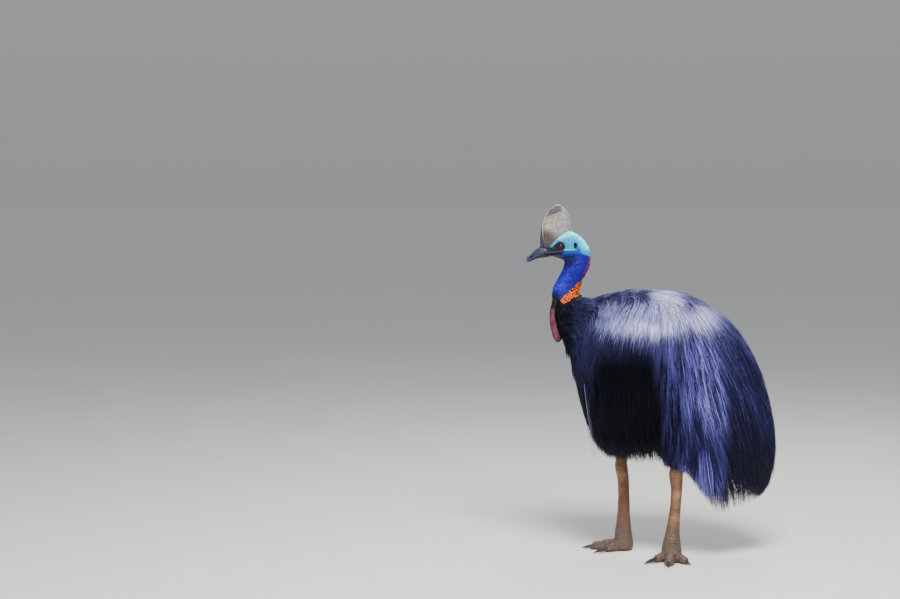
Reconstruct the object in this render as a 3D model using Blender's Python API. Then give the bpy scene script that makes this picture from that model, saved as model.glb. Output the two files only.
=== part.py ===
"""Adult southern cassowary, standing, life size.

The bird faces -X, +Z is up and the floor is z = 0. Each piece of the body is one closed
solid, with its true outline out to the tips of the plumage. Neighbours keep a gap of GAP.
"""
import bpy
import bmesh
from math import cos, pi, radians, sin
from mathutils import Matrix, Vector

# ---------------------------------------------------------------- driving dimensions (metres)
GAP = 0.0003                 # clearance between neighbouring solids
TOTAL_HEIGHT = 1.489         # floor to the top of the casque
BACK_HEIGHT = 1.143          # floor to the top of the back plumage
SIDES_BODY = 26              # points round a body section
SIDES_LIMB = 12              # points round a leg or toe section

EYE_RADIUS = 0.0140
EYE_CENTRE = (-0.3865, 0.0215, 1.3143)
WATTLE_SPREAD = 0.021        # middle line of the neck to the middle of a wattle
ANKLE_HEIGHT = 0.385

FOOT_RIGHT = (-0.100, 0.112)     # where each foot stands
FOOT_LEFT = (0.080, -0.092)
YAW_RIGHT = 3.0                  # degrees that each foot is turned out from straight ahead
YAW_LEFT = 78.0
LEAN_RIGHT = -0.006              # how far the ankle stands ahead of the foot
LEAN_LEFT = 0.024
PAD_HEIGHT = 0.058
TOES = {                         # angle from the middle toe, length, root height, root width
    "middle": (0.0, 0.146, 0.048, 0.052),
    "inner": (-38.0, 0.102, 0.046, 0.046),
    "outer": (38.0, 0.116, 0.045, 0.045),
}
CLAWS = {"middle": (0.038, 0.0110), "inner": (0.076, 0.0120), "outer": (0.033, 0.0100)}   # reach, root radius

# Body plumage: x, top, bottom, half width
BODY = [
    (-0.326, 0.872, 0.778, 0.040), (-0.292, 1.030, 0.614, 0.138), (-0.240, 1.100, 0.500, 0.186),
    (-0.165, 1.122, 0.464, 0.216), (-0.050, BACK_HEIGHT, 0.472, 0.240), (0.080, 1.134, 0.456, 0.248),
    (0.161, 1.120, 0.390, 0.244), (0.225, 1.088, 0.282, 0.233), (0.276, 1.054, 0.218, 0.218),
    (0.327, 1.014, 0.214, 0.199), (0.378, 0.956, 0.234, 0.176), (0.421, 0.890, 0.258, 0.150),
    (0.463, 0.803, 0.284, 0.118), (0.498, 0.690, 0.318, 0.084), (0.524, 0.560, 0.358, 0.045),
    (0.533, 0.500, 0.400, 0.020),
]
BODY_SPLITS = ("breast", 3, "back", 5, "rump", 8, "tail")    # piece, station where it ends

# Neck, from inside the head down into the breast: x, z, front depth, back depth, half width
NECK = [
    (-0.300, 1.312, 0.040, 0.022, 0.030), (-0.313, 1.265, 0.055, 0.056, 0.0375),
    (-0.318, 1.231, 0.053, 0.054, 0.038), (-0.335, 1.195, 0.047, 0.049, 0.037),
    (-0.355, 1.159, 0.046, 0.055, 0.038), (-0.371, 1.125, 0.048, 0.072, 0.042),
    (-0.376, 1.089, 0.046, 0.082, 0.049), (-0.361, 1.049, 0.064, 0.105, 0.064),
    (-0.327, 1.003, 0.096, 0.136, 0.088), (-0.276, 0.961, 0.124, 0.158, 0.120),
    (-0.217, 0.927, 0.155, 0.180, 0.150),
]
NECK_SPLITS = ("neck_upper", 3, "neck_lower", 6, "neck_base")

# Head: x, top, bottom, half width
HEAD = [
    (-0.449, 1.308, 1.280, 0.012), (-0.440, 1.314, 1.274, 0.019), (-0.412, 1.338, 1.268, 0.026),
    (-0.387, 1.360, 1.262, 0.033), (-0.362, 1.372, 1.250, 0.037), (-0.337, 1.376, 1.240, 0.039),
    (-0.311, 1.364, 1.232, 0.038), (-0.288, 1.344, 1.230, 0.034), (-0.270, 1.318, 1.238, 0.026),
    (-0.259, 1.293, 1.254, 0.013),
]
# Casque: z, front edge, rear edge, half thickness
CASQUE = [
    (TOTAL_HEIGHT, -0.401, -0.391, 0.0035), (1.481, -0.418, -0.375, 0.0065),
    (1.462, -0.437, -0.358, 0.0090), (1.437, -0.452, -0.347, 0.0110),
    (1.405, -0.464, -0.340, 0.0135), (1.370, -0.470, -0.337, 0.0170),
    (1.335, -0.472, -0.350, 0.0200), (1.308, -0.471, -0.372, 0.0210),
]
# Bill, tip to root: x, culmen, gape line, lower edge, half width
BILL = [
    (-0.543, 1.2500, 1.2460, 1.2460, 0.0018), (-0.536, 1.2590, 1.2468, 1.2455, 0.0060),
    (-0.524, 1.2690, 1.2502, 1.2462, 0.0100), (-0.509, 1.2820, 1.2590, 1.2510, 0.0132),
    (-0.492, 1.2985, 1.2690, 1.2590, 0.0160), (-0.474, 1.3110, 1.2762, 1.2628, 0.0185),
    (-0.454, 1.3150, 1.2815, 1.2645, 0.0205), (-0.430, 1.3150, 1.2845, 1.2655, 0.0220),
]
# Wattles: z, x, half depth, half width
WATTLE = [
    (1.086, -0.409, 0.0040, 0.0065), (1.062, -0.4175, 0.0070, 0.0100),
    (1.020, -0.4215, 0.0085, 0.0130), (0.975, -0.4160, 0.0100, 0.0165),
    (0.932, -0.4035, 0.0120, 0.0190), (0.909, -0.3965, 0.0075, 0.0120),
]
# Thighs: z, x, half depth, y, half width
THIGH_RIGHT = [
    (0.368, -0.104, 0.040, 0.112, 0.034), (0.376, -0.108, 0.062, 0.112, 0.050),
    (0.412, -0.120, 0.094, 0.112, 0.074), (0.470, -0.127, 0.122, 0.112, 0.096),
    (0.545, -0.127, 0.130, 0.108, 0.106), (0.640, -0.110, 0.105, 0.095, 0.085),
]
THIGH_LEFT = [
    (0.376, 0.106, 0.034, -0.100, 0.032), (0.385, 0.106, 0.052, -0.102, 0.046),
    (0.425, 0.100, 0.076, -0.106, 0.070), (0.480, 0.092, 0.100, -0.110, 0.096),
    (0.560, 0.080, 0.118, -0.110, 0.108), (0.660, 0.060, 0.100, -0.095, 0.085),
]
# Shank with its ankle knob: z, x, half depth, half width
SHANK = [
    (PAD_HEIGHT + GAP, 0.000, 0.039, 0.040), (0.082, -0.001, 0.036, 0.036),
    (0.112, 0.000, 0.032, 0.031), (0.160, 0.001, 0.0275, 0.0255), (0.230, 0.003, 0.0250, 0.0225),
    (0.300, 0.002, 0.0250, 0.0240), (0.335, -0.003, 0.0270, 0.0280),
    (0.365, -0.007, 0.0280, 0.0300), (ANKLE_HEIGHT + 0.020, -0.006, 0.0230, 0.0240),
]
# Sole pad under the shank: z, half depth, half width
PAD = [(0.0, 0.032, 0.034), (0.006, 0.040, 0.041), (0.026, 0.043, 0.044), (PAD_HEIGHT, 0.039, 0.040)]
# Small wing on the flank: x, z, y, half depth, half thickness
WING = [
    (-0.222, 0.925, 0.160, 0.016, 0.012), (-0.228, 0.895, 0.168, 0.030, 0.020),
    (-0.242, 0.830, 0.176, 0.032, 0.022), (-0.256, 0.760, 0.172, 0.024, 0.018),
    (-0.264, 0.715, 0.164, 0.012, 0.012),
]


# ---------------------------------------------------------------- tools
def spline(rows, steps):
    """Catmull-Rom rows between the stations; a station is every steps-th row."""
    out = []
    for i in range(len(rows) - 1):
        p0, p1, p2, p3 = (rows[max(0, min(len(rows) - 1, i + k))] for k in (-1, 0, 1, 2))
        for k in range(steps):
            t = k / steps
            out.append(tuple(
                0.5 * (2 * b + (c - a) * t + (2 * a - 5 * b + 4 * c - d) * t * t
                       + (3 * b - a - 3 * c + d) * t ** 3)
                for a, b, c, d in zip(p0, p1, p2, p3)))
    out.append(tuple(rows[-1]))
    return out


def section(centre, u, v, ru, up, down, sides, full=2.0):
    """Closed ring of points: half width ru along u, up and down along v."""
    ring = []
    for k in range(sides):
        c, s = cos(2 * pi * k / sides), sin(2 * pi * k / sides)
        cu = abs(c) ** (2 / full) * (1 if c > 0 else -1)
        sv = abs(s) ** (2 / full) * (1 if s > 0 else -1)
        ring.append(Vector(centre) + Vector(u) * ru * cu + Vector(v) * (up if s > 0 else down) * sv)
    return ring


def loft(name, rings):
    """Mesh through the rings, with both ends closed."""
    bm = bmesh.new()
    loops = [[bm.verts.new(p) for p in ring] for ring in rings]
    for low, high in zip(loops, loops[1:]):
        for k in range(len(low)):
            m = (k + 1) % len(low)
            bm.faces.new((low[k], low[m], high[m]))
            bm.faces.new((low[k], high[m], high[k]))
    for ring in (loops[0], loops[-1]):
        bmesh.ops.contextual_create(bm, geom=ring)
    bmesh.ops.triangulate(bm, faces=[f for f in bm.faces if len(f.verts) > 4])
    bmesh.ops.recalc_face_normals(bm, faces=bm.faces)
    mesh = bpy.data.meshes.new(name)
    bm.to_mesh(mesh)
    bm.free()
    mesh.shade_smooth()
    mesh.set_sharp_from_angle(angle=radians(40))
    return mesh


def material(name, rgb, rough, metal=0.0):
    mat = bpy.data.materials.get(name)
    if mat is None:
        mat = bpy.data.materials.new(name)
        mat.use_nodes = True
        shader = mat.node_tree.nodes["Principled BSDF"]
        shader.inputs["Base Color"].default_value = (*rgb, 1)
        shader.inputs["Roughness"].default_value = rough
        shader.inputs["Metallic"].default_value = metal
    return mat


def collection(name):
    coll = bpy.data.collections.new(name)
    bpy.context.scene.collection.children.link(coll)
    return coll


def add(name, mesh, look, parent):
    """Put a mesh into the bird as one named piece with its own material."""
    ob = bpy.data.objects.new(name, mesh)
    BIRD.objects.link(ob)
    if not mesh.materials:
        mesh.materials.append(material(name, *look))
    ob.parent = parent
    return ob


def cutter(name, mesh, parent):
    ob = bpy.data.objects.new("cut_" + name, mesh)
    CUTTERS.objects.link(ob)
    ob.hide_render = True
    ob.display_type = 'WIRE'
    ob.parent = parent
    return ob


def cut(ob, *tools):
    for tool in tools:
        mod = ob.modifiers.new("cut " + tool.name, 'BOOLEAN')
        mod.operation = 'DIFFERENCE'
        mod.solver = 'EXACT'
        mod.object = tool


# ---------------------------------------------------------------- sections of each form
def body_rings(first=0, last=None, grow=0.0, steps=2):
    rows = spline(BODY, steps)
    last = len(BODY) - 1 if last is None else last
    rows = rows[first * steps:last * steps + 1]
    rings = []
    for i, (x, top, low, half) in enumerate(rows):
        if i == 0 and first > 0:
            x += GAP / 2
        if i == len(rows) - 1 and last < len(BODY) - 1:
            x -= GAP / 2
        mid = low + 0.52 * (top - low)
        rings.append(section((x, 0, mid), (0, 1, 0), (0, 0, 1), half + grow,
                             top - mid + grow, mid - low + grow, SIDES_BODY, 2.2))
    if grow:
        rings[0] = [p - Vector((grow, 0, 0)) for p in rings[0]]
        rings[-1] = [p + Vector((grow, 0, 0)) for p in rings[-1]]
    return rings


def neck_rings(first=0, last=None, grow=0.0, steps=2):
    rows = spline(NECK, steps)
    last = len(NECK) - 1 if last is None else last
    rings = []
    for i in range(first * steps, last * steps + 1):
        x, z, front, back, half = rows[i]
        before, after = rows[max(i - 1, 0)], rows[min(i + 1, len(rows) - 1)]
        along = Vector((after[0] - before[0], 0, after[1] - before[1])).normalized()
        rear = Vector((-along.z, 0, along.x))
        centre = Vector((x, 0, z))
        if i == first * steps and first > 0:
            centre += along * GAP / 2
        if i == last * steps and last < len(NECK) - 1:
            centre -= along * GAP / 2
        rings.append(section(centre, (0, 1, 0), rear, half + grow, back + grow, front + grow, 18, 2.1))
    return rings


def head_rings(grow=0.0):
    rings = []
    for x, top, low, half in spline(HEAD, 2):
        mid = low + 0.50 * (top - low)
        rings.append(section((x, 0, mid), (0, 1, 0), (0, 0, 1), half + grow,
                             top - mid + grow, mid - low + grow, 18, 2.15))
    rings[0] = [p - Vector((grow, 0, 0)) for p in rings[0]]
    rings[-1] = [p + Vector((grow, 0, 0)) for p in rings[-1]]
    return rings


def casque_rings(grow=0.0):
    rings = []
    for z, front, rear, half in spline(CASQUE, 2):
        rings.append(section(((front + rear) / 2, 0, z), (1, 0, 0), (0, 1, 0), (rear - front) / 2 + grow,
                             half + grow, half + grow, 16, 1.8))
    return rings


def bill_rings(upper, grow=0.0):
    rings = []
    for x, top, gape, low, half in BILL[0 if upper else 2:]:
        if upper:
            ring = section((x, 0, gape), (0, 1, 0), (0, 0, 1), half + grow, top - gape + grow, grow, 12)
        else:
            ring = section((x, 0, gape - GAP), (0, 1, 0), (0, 0, 1), 0.9 * half + grow, grow,
                           gape - GAP - low + grow, 12)
        rings.append(ring)
    return rings


def wattle_rings(side):
    return [section((x, side * WATTLE_SPREAD, z), (1, 0, 0), (0, 1, 0), depth, half, half, 10)
            for z, x, depth, half in spline(WATTLE, 2)]


def thigh_rings(rows):
    return [section((x, y, z), (1, 0, 0), (0, 1, 0), depth, half, half, 16, 2.1)
            for z, x, depth, y, half in spline(rows, 2)]


def shank_rings(foot, lean, yaw, grow=0.0):
    """The shank turns with its foot, and its ankle stands ahead of the foot by lean."""
    fore, aside = (cos(radians(yaw)), sin(radians(yaw)), 0), (-sin(radians(yaw)), cos(radians(yaw)), 0)
    rings = []
    for z, x, depth, half in SHANK:
        x += foot[0] + lean * (z - PAD_HEIGHT) / (ANKLE_HEIGHT - PAD_HEIGHT)
        rings.append(section((x, foot[1], z), fore, aside, depth + grow, half + grow,
                             half + grow, SIDES_LIMB))
    return rings


def wing_rings(side):
    return [section((x, side * y, z), (1, 0, 0), (0, 1, 0), depth, thick, thick, 10)
            for x, z, y, depth, thick in spline(WING, 2)]


def pad_rings(grow=0.0):
    rings = [section((0, 0, z), (1, 0, 0), (0, 1, 0), depth + grow, half + grow, half + grow, 16)
             for z, depth, half in PAD]
    if grow:
        rings[0] = [p - Vector((0, 0, grow)) for p in rings[0]]
        rings[-1] = [p + Vector((0, 0, grow)) for p in rings[-1]]
    return rings


def toe_rings(length, height, width, grow=0.0):
    """A toe along -X with a flat sole: three pads and a rounded end."""
    rings = []
    for k in range(8):
        t = k / 7
        swell = 1 + 0.06 * cos(2 * pi * 3 * t + pi)
        tip = (1 - max(0.0, (t - 0.86) / 0.14) ** 2 * 0.72)
        high = height * (1 - 0.34 * t) * swell * tip
        half = width / 2 * (1 - 0.26 * t) * swell * tip
        x = -(0.020 + (length - 0.020) * t)
        ring = section((x, 0, 0.42 * high), (0, 1, 0), (0, 0, 1), half + grow, 0.58 * high + grow,
                       0.50 * high + grow, SIDES_LIMB, 2.3)
        rings.append([Vector((p.x, p.y, max(p.z, -grow))) for p in ring])
    rings[-1] = [p - Vector((grow, 0, 0)) for p in rings[-1]]
    return rings


def claw_rings(start, length, radius):
    """A tapering claw along -X that curves down towards the floor."""
    rings = []
    for k in range(5):
        t = k / 4
        r = radius * (1 - t) ** 0.75 + 0.0006
        z = radius + 0.0035 - (radius - 0.0015) * t ** 1.6
        rings.append(section((-(start - 0.014) - (length + 0.014) * t, 0, z), (0, 1, 0), (0, 0, 1),
                             0.75 * r, r, r, 6))
    return rings


# ---------------------------------------------------------------- build the bird
for old in list(bpy.data.objects):
    bpy.data.objects.remove(old, do_unlink=True)

BIRD = collection("cassowary")
CUTTERS = collection("cutters")
ROOT = bpy.data.objects.new("bird_origin", None)
BIRD.objects.link(ROOT)

PLUME = ((0.012, 0.012, 0.020), 0.55)
BLUE = ((0.02, 0.05, 0.50), 0.5)
TURQUOISE = ((0.10, 0.55, 0.62), 0.5)
CRIMSON = ((0.45, 0.04, 0.10), 0.5)
HORN = ((0.24, 0.19, 0.15), 0.45)
SLATE = ((0.04, 0.04, 0.06), 0.4)
LEG = ((0.17, 0.11, 0.07), 0.6)
CLAW = ((0.05, 0.045, 0.04), 0.35)
IRIS = ((0.12, 0.03, 0.01), 0.05)

# cutters, each a solid grown by the gap
cut_body = cutter("body", loft("cut_body", body_rings(grow=GAP)), ROOT)
cut_neck = cutter("neck", loft("cut_neck", neck_rings(grow=GAP)), ROOT)
cut_head = cutter("head", loft("cut_head", head_rings(GAP)), ROOT)
cut_casque = cutter("casque", loft("cut_casque", casque_rings(GAP)), ROOT)

# body plumage in four pieces, from breast to tail
marks = [0] + list(BODY_SPLITS[1::2]) + [len(BODY) - 1]
for name, first, last in zip(BODY_SPLITS[::2], marks, marks[1:]):
    add(name, loft(name, body_rings(first, last)), PLUME, ROOT)

# neck in three pieces
marks = [0] + list(NECK_SPLITS[1::2]) + [len(NECK) - 1]
for name, first, last in zip(NECK_SPLITS[::2], marks, marks[1:]):
    piece = add(name, loft(name, neck_rings(first, last)), PLUME if name == "neck_base" else BLUE, ROOT)
    if name == "neck_base":
        cut(piece, cut_body)
    if name == "neck_upper":
        cut(piece, cut_head)

# head, bill and casque
head = add("head", loft("head", head_rings()), TURQUOISE, ROOT)
casque = add("casque", loft("casque", casque_rings()), HORN, ROOT)
cut(casque, cut_head)
bill_upper = add("bill_upper", loft("bill_upper", bill_rings(True)), SLATE, ROOT)
cut(bill_upper, cut_head, cut_casque)
bill_lower = add("bill_lower", loft("bill_lower", bill_rings(False)), SLATE, ROOT)
cut(bill_lower, cut_head)

# eyes, each in its socket
for side, word in ((-1, "left"), (1, "right")):
    place = Matrix.Translation((EYE_CENTRE[0], side * EYE_CENTRE[1], EYE_CENTRE[2]))
    for radius, kind in ((EYE_RADIUS, "eye"), (EYE_RADIUS + GAP, "socket")):
        bm = bmesh.new()
        bmesh.ops.create_uvsphere(bm, u_segments=12, v_segments=8, radius=radius)
        mesh = bpy.data.meshes.new(kind + "_" + word)
        bm.to_mesh(mesh)
        bm.free()
        mesh.shade_smooth()
        if kind == "eye":
            ball = add("eye_" + word, mesh, IRIS, ROOT)
        else:
            ball = cutter("socket_" + word, mesh, ROOT)
            cut(head, ball)
        ball.location = place.translation

# wattles and the small wings
for side, word in ((-1, "left"), (1, "right")):
    wattle = add("wattle_" + word, loft("wattle_" + word, wattle_rings(side)), CRIMSON, ROOT)
    cut(wattle, cut_neck)
    wing = add("wing_" + word, loft("wing_" + word, wing_rings(side)), PLUME, ROOT)
    cut(wing, cut_body)

# legs
for word, foot, lean, yaw, thigh_rows, out in (
        ("right", FOOT_RIGHT, LEAN_RIGHT, -YAW_RIGHT, THIGH_RIGHT, -1),
        ("left", FOOT_LEFT, LEAN_LEFT, YAW_LEFT, THIGH_LEFT, 1)):
    shank = add("shank_" + word, loft("shank_" + word, shank_rings(foot, lean, yaw)), LEG, ROOT)
    shank_tool = cutter("shank_" + word, loft("cut_shank_" + word, shank_rings(foot, lean, yaw, GAP)), ROOT)
    thigh = add("thigh_" + word, loft("thigh_" + word, thigh_rings(thigh_rows)), PLUME, ROOT)
    cut(thigh, cut_body, shank_tool)

    stand = bpy.data.objects.new("foot_" + word, None)
    BIRD.objects.link(stand)
    stand.parent = ROOT
    stand.location = (foot[0], foot[1], 0)
    stand.rotation_euler = (0, 0, radians(yaw))
    add("pad_" + word, loft("pad_" + word, pad_rings()), LEG, stand)
    pad_tool = cutter("pad_" + word, loft("cut_pad_" + word, pad_rings(GAP)), stand)
    for toe, (angle, length, height, width) in TOES.items():
        turn = (0, 0, radians(angle * out))
        name = f"toe_{toe}_{word}"
        piece = add(name, loft(name, toe_rings(length, height, width)), LEG, stand)
        piece.rotation_euler = turn
        cut(piece, pad_tool)
        tool = cutter(name, loft("cut_" + name, toe_rings(length, height, width, GAP)), stand)
        tool.rotation_euler = turn
        if toe == "middle":
            middle_tool = tool
        else:
            cut(piece, middle_tool)
        reach, radius = CLAWS[toe]
        name = f"claw_{toe}_{word}"
        claw = add(name, loft(name, claw_rings(length, reach, radius)), CLAW, stand)
        claw.rotation_euler = turn
        cut(claw, tool)

# the origin goes to the middle of the bird's footprint box, on the floor
bpy.context.view_layer.update()
corners = [ob.matrix_world @ v.co for ob in BIRD.objects if ob.type == 'MESH' for v in ob.data.vertices]
ROOT.location = [-(min(c[k] for c in corners) + max(c[k] for c in corners)) / 2 for k in (0, 1)] + [0]
bpy.context.view_layer.update()
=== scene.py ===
"""The looks of a life-size standing cassowary: skin, horn, scales, feathers and a plain studio."""

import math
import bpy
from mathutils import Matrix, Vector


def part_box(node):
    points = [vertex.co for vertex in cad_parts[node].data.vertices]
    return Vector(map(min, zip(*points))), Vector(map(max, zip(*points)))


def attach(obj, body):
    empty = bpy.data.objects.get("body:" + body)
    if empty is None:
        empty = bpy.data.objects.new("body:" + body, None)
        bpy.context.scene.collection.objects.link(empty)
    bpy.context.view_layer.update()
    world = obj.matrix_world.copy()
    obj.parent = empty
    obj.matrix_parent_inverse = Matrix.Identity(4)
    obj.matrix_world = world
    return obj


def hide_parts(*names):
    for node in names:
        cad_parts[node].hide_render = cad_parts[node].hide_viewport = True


bl_info = {
    "name": "Standing cassowary",
    "version": (1, 0, 0),
    "blender": (4, 5, 0),
    "location": "3D View > Sidebar > Cassowary",
    "description": "Skin, horn, scales, feathers and studio of a life-size standing cassowary",
    "category": "Object",
}

import bmesh
import bpy
import numpy as np
from bpy.props import FloatProperty, FloatVectorProperty, PointerProperty
from mathutils import Matrix, Vector
from mathutils.bvhtree import BVHTree
from mathutils.kdtree import KDTree

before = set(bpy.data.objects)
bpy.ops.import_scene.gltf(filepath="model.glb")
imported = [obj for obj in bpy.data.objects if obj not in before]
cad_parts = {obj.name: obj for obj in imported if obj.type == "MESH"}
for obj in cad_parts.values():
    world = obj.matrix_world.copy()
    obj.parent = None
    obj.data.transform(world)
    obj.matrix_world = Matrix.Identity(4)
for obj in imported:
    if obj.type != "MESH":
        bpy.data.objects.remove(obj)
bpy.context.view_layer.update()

# ---------------------------------------------------------------- the bird's own frame
# Places are given in metres in the bird's own frame: X runs back along the bird, Y = 0 is its
# middle plane, negative Y its left side, and Z is the height over the floor.
EYE_X, EYE_Z, EYE_OUT = -0.3865, 1.3143, 0.0215
EYE_RADIUS = 0.014


def middle(node):
    """The centre of a CAD node's box."""
    low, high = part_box(node)
    return (low + high) / 2


BIRD = Vector((middle("eye_left").x - EYE_X, middle("casque").y, 0.0))
SIDES = {"left": -1.0, "right": 1.0}
FEET = [f"{part}_{side}" for side in SIDES for part in ("shank", "pad")]
TOES = [f"toe_{toe}_{side}" for side in SIDES for toe in ("inner", "middle", "outer")]
CLAWS = [f"claw_{toe}_{side}" for side in SIDES for toe in ("inner", "middle", "outer")]
WATTLES = ["wattle_left", "wattle_right"]
THIGHS = ["thigh_left", "thigh_right"]
WINGS = ["wing_left", "wing_right"]
TRUNK = ["neck_base", "breast", "back", "rump", "tail"]

# The middle line of the neck from the skull down into the breast, as X and Z.
NECK_LINE = [
    (-0.3, 1.312), (-0.313, 1.265), (-0.318, 1.231), (-0.335, 1.195), (-0.355, 1.159),
    (-0.371, 1.125), (-0.376, 1.089), (-0.361, 1.049), (-0.327, 1.003), (-0.276, 0.961),
    (-0.217, 0.927),
]
# The lower edge of the hanging coat, as X and Z.
HEM_LINE = [
    (-0.345, 0.86), (-0.324, 0.7), (-0.274, 0.545), (-0.232, 0.462), (-0.183, 0.424),
    (-0.067, 0.41), (0.06, 0.412), (0.115, 0.392), (0.161, 0.346), (0.225, 0.258),
    (0.268, 0.208), (0.318, 0.214), (0.378, 0.232), (0.421, 0.246), (0.463, 0.262),
    (0.498, 0.3), (0.524, 0.345), (0.545, 0.42),
]


# ---------------------------------------------------------------- numbers, colours and nodes
def linear(colour):
    """An sRGB hex colour as linear red, green, blue and alpha."""
    parts = [int(colour[i : i + 2], 16) / 255 for i in (1, 3, 5)]
    return (*(c / 12.92 if c <= 0.04045 else ((c + 0.055) / 1.055) ** 2.4 for c in parts), 1.0)


def ease(low, high, value):
    """0 below low, 1 above high and smooth between; low may be the larger."""
    t = np.clip((np.asarray(value, float) - low) / (high - low), 0, 1)
    return t * t * (3 - 2 * t)


def hill(distance, width):
    """1 at no distance, falling away like a bell over width."""
    return np.exp(-((distance / width) ** 2))


def unit(vectors):
    """Each vector at length 1."""
    return vectors / np.maximum(np.linalg.norm(vectors, axis=-1, keepdims=True), 1e-9)


def ripple(places, size, seed, stretch=(1, 1, 1)):
    """Smooth uneven swells about size across, from -1 to 1, as crossing waves."""
    rng = np.random.default_rng(seed)
    total = 0
    for _ in range(7):
        wave = unit(rng.normal(size=3)) * rng.uniform(0.7, 1.4) * math.pi / size / np.array(stretch)
        total = total + np.sin(places @ wave + rng.uniform(0, 6.28))
    return np.clip(total / 3.2, -1, 1)


def off_line(flat, line):
    """How far each flat place is from a line of points."""
    best = np.full(len(flat), np.inf)
    for start, end in zip(np.array(line[:-1]), np.array(line[1:])):
        run = end - start
        t = np.clip(((flat - start) @ run) / (run @ run), 0, 1)
        best = np.minimum(best, np.linalg.norm(flat - start - t[:, None] * run, axis=1))
    return best


def in_patch(flat, outline):
    """How deep each flat place lies inside a closed outline, negative outside it."""
    inside = np.zeros(len(flat), bool)
    x, z = flat.T
    for (ax, az), (bx, bz) in zip(outline, outline[1:] + outline[:1]):
        if az != bz:
            inside ^= ((az > z) != (bz > z)) & (x < (bx - ax) * (z - az) / (bz - az) + ax)
    return np.where(inside, 1, -1) * off_line(flat, outline + outline[:1])


def tint(colours, colour, amount):
    """Mixes one colour into an array of colours by an amount for each."""
    wanted = np.array(linear(colour)[:3] if isinstance(colour, str) else colour[:3])
    colours += (wanted - colours) * amount[:, None]


def tints(colours, steps):
    """Mixes in several colours, one after another."""
    for colour, amount in steps:
        tint(colours, colour, amount)


def plain(colour, count):
    """One colour for each of a count of places."""
    return np.tile(np.array(colour[:3]), (count, 1))


def spot(flat, x, z, size, wide=1.0, tall=1.0):
    """1 at a place and falling away like a bell over size, stretched by wide and tall."""
    return hill(np.hypot((flat[:, 0] - x) / wide, (flat[:, 1] - z) / tall), size)


def along_line(at, run, line):
    """The places at some runs down a line, of which run gives each point's own."""
    return np.column_stack([np.interp(at, run, values) for values in line.T])


def node(tree, kind, settings=None, links=None):
    """Adds a shader node. settings are its properties, its sockets' values or its ramp's stops."""
    made = tree.nodes.new("ShaderNode" + kind)
    for key, value in (settings or {}).items():
        if key == "stops":
            ramp = made.color_ramp.elements
            while len(ramp) < len(value):
                ramp.new(0.5)
            for stop, (position, colour) in zip(ramp, value):
                stop.position = position
                stop.color = linear(colour)
        elif isinstance(key, str) and hasattr(made, key):
            setattr(made, key, value)
        else:
            made.inputs[key].default_value = value
    for key, source in (links or {}).items():
        tree.links.new(source, made.inputs[key])
    return made


def blank(name, settings):
    """A new material, its nodes and its shader with these values."""
    made = bpy.data.materials.new(name)
    made.use_nodes = True
    shader = made.node_tree.nodes["Principled BSDF"]
    for key, value in settings.items():
        shader.inputs[key].default_value = value
    return made, made.node_tree, shader


def clouds(tree, size, detail, low, high):
    """A node whose value drifts from low to high in soft clouds of that real size in metres."""
    place = node(tree, "TexCoord").outputs["Object"]
    noise = node(tree, "TexNoise", {"Scale": 1 / size, "Detail": detail}, {"Vector": place})
    return node(tree, "MapRange", {"To Min": low, "To Max": high}, {0: noise.outputs[0]})


def lit_by(tree, shader, light, links, settings=None):
    """Makes the shader's colour another colour, linked or set, lightened and darkened by a node."""
    settings = {"data_type": "RGBA", "blend_type": "MULTIPLY", 0: 1.0, **(settings or {})}
    colour = node(tree, "Mix", settings, {**links, 7: light.outputs[0]})
    tree.links.new(colour.outputs[2], shader.inputs["Base Color"])


# Under each fine grain lies a broad unevenness, of this share of its frequency.
BROAD_SHARE = 0.14


def material(name, roughness, grain, depth, settings, spread=0.25, uneven=0.12, stretch=(1, 1, 1)):
    """A surface that shows its markings, varied and embossed by a grain of that real size in metres.

    depth is the grain's height in metres, spread how far it lightens and darkens the markings, uneven how far
    it changes the roughness, and stretch the grain's shape."""
    made, tree, shader = blank(name, settings)
    marks = node(tree, "Attribute", {"attribute_name": "markings"})
    place = node(tree, "TexCoord").outputs["Object"]
    shape = {"vector_type": "POINT", "Scale": [1 / share for share in stretch]}
    scaled = {"Vector": node(tree, "Mapping", shape, {0: place}).outputs[0]}
    fine = node(tree, "TexNoise", {"Scale": 1 / grain, "Detail": 5.0, "Roughness": 0.6}, scaled)
    broad = node(tree, "TexNoise", {"Scale": BROAD_SHARE / grain, "Detail": 3.0}, scaled)
    both = node(tree, "Math", {"operation": "ADD"}, {0: fine.outputs[0], 1: broad.outputs[0]})
    bounds = {"From Min": 0.6, "From Max": 1.4, "To Min": 1 - spread, "To Max": 1 + spread}
    light = node(tree, "MapRange", bounds, {0: both.outputs[0]})
    bounds = {"To Min": roughness - uneven, "To Max": roughness + uneven}
    gloss = node(tree, "MapRange", bounds, {0: fine.outputs[0]})
    relief = node(tree, "Bump", {"Strength": 0.8, "Distance": depth}, {"Height": fine.outputs[0]})
    lit_by(tree, shader, light, {6: marks.outputs["Color"]})
    tree.links.new(gloss.outputs[0], shader.inputs["Roughness"])
    tree.links.new(relief.outputs[0], shader.inputs["Normal"])
    return made


# ---------------------------------------------------------------- meshes
def join(bm, other):
    """Adds another bmesh to the first."""
    copy = bpy.data.meshes.new("copy")
    other.to_mesh(copy)
    other.free()
    bm.from_mesh(copy)
    bpy.data.meshes.remove(copy)


def forms(nodes, sink=0.0):
    """The CAD nodes welded, drawn in by sink and put together in one bmesh in the bird's own frame."""
    bm = bmesh.new()
    for name in nodes:
        one = bmesh.new()
        one.from_mesh(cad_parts[name].data)
        bmesh.ops.remove_doubles(one, verts=one.verts, dist=0.00001)
        one.normal_update()
        moves = [v.normal * -sink for v in one.verts]
        for vertex, move in zip(one.verts, moves):
            vertex.co += move
        bmesh.ops.translate(one, verts=one.verts, vec=-BIRD)
        join(bm, one)
    return bm


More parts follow.
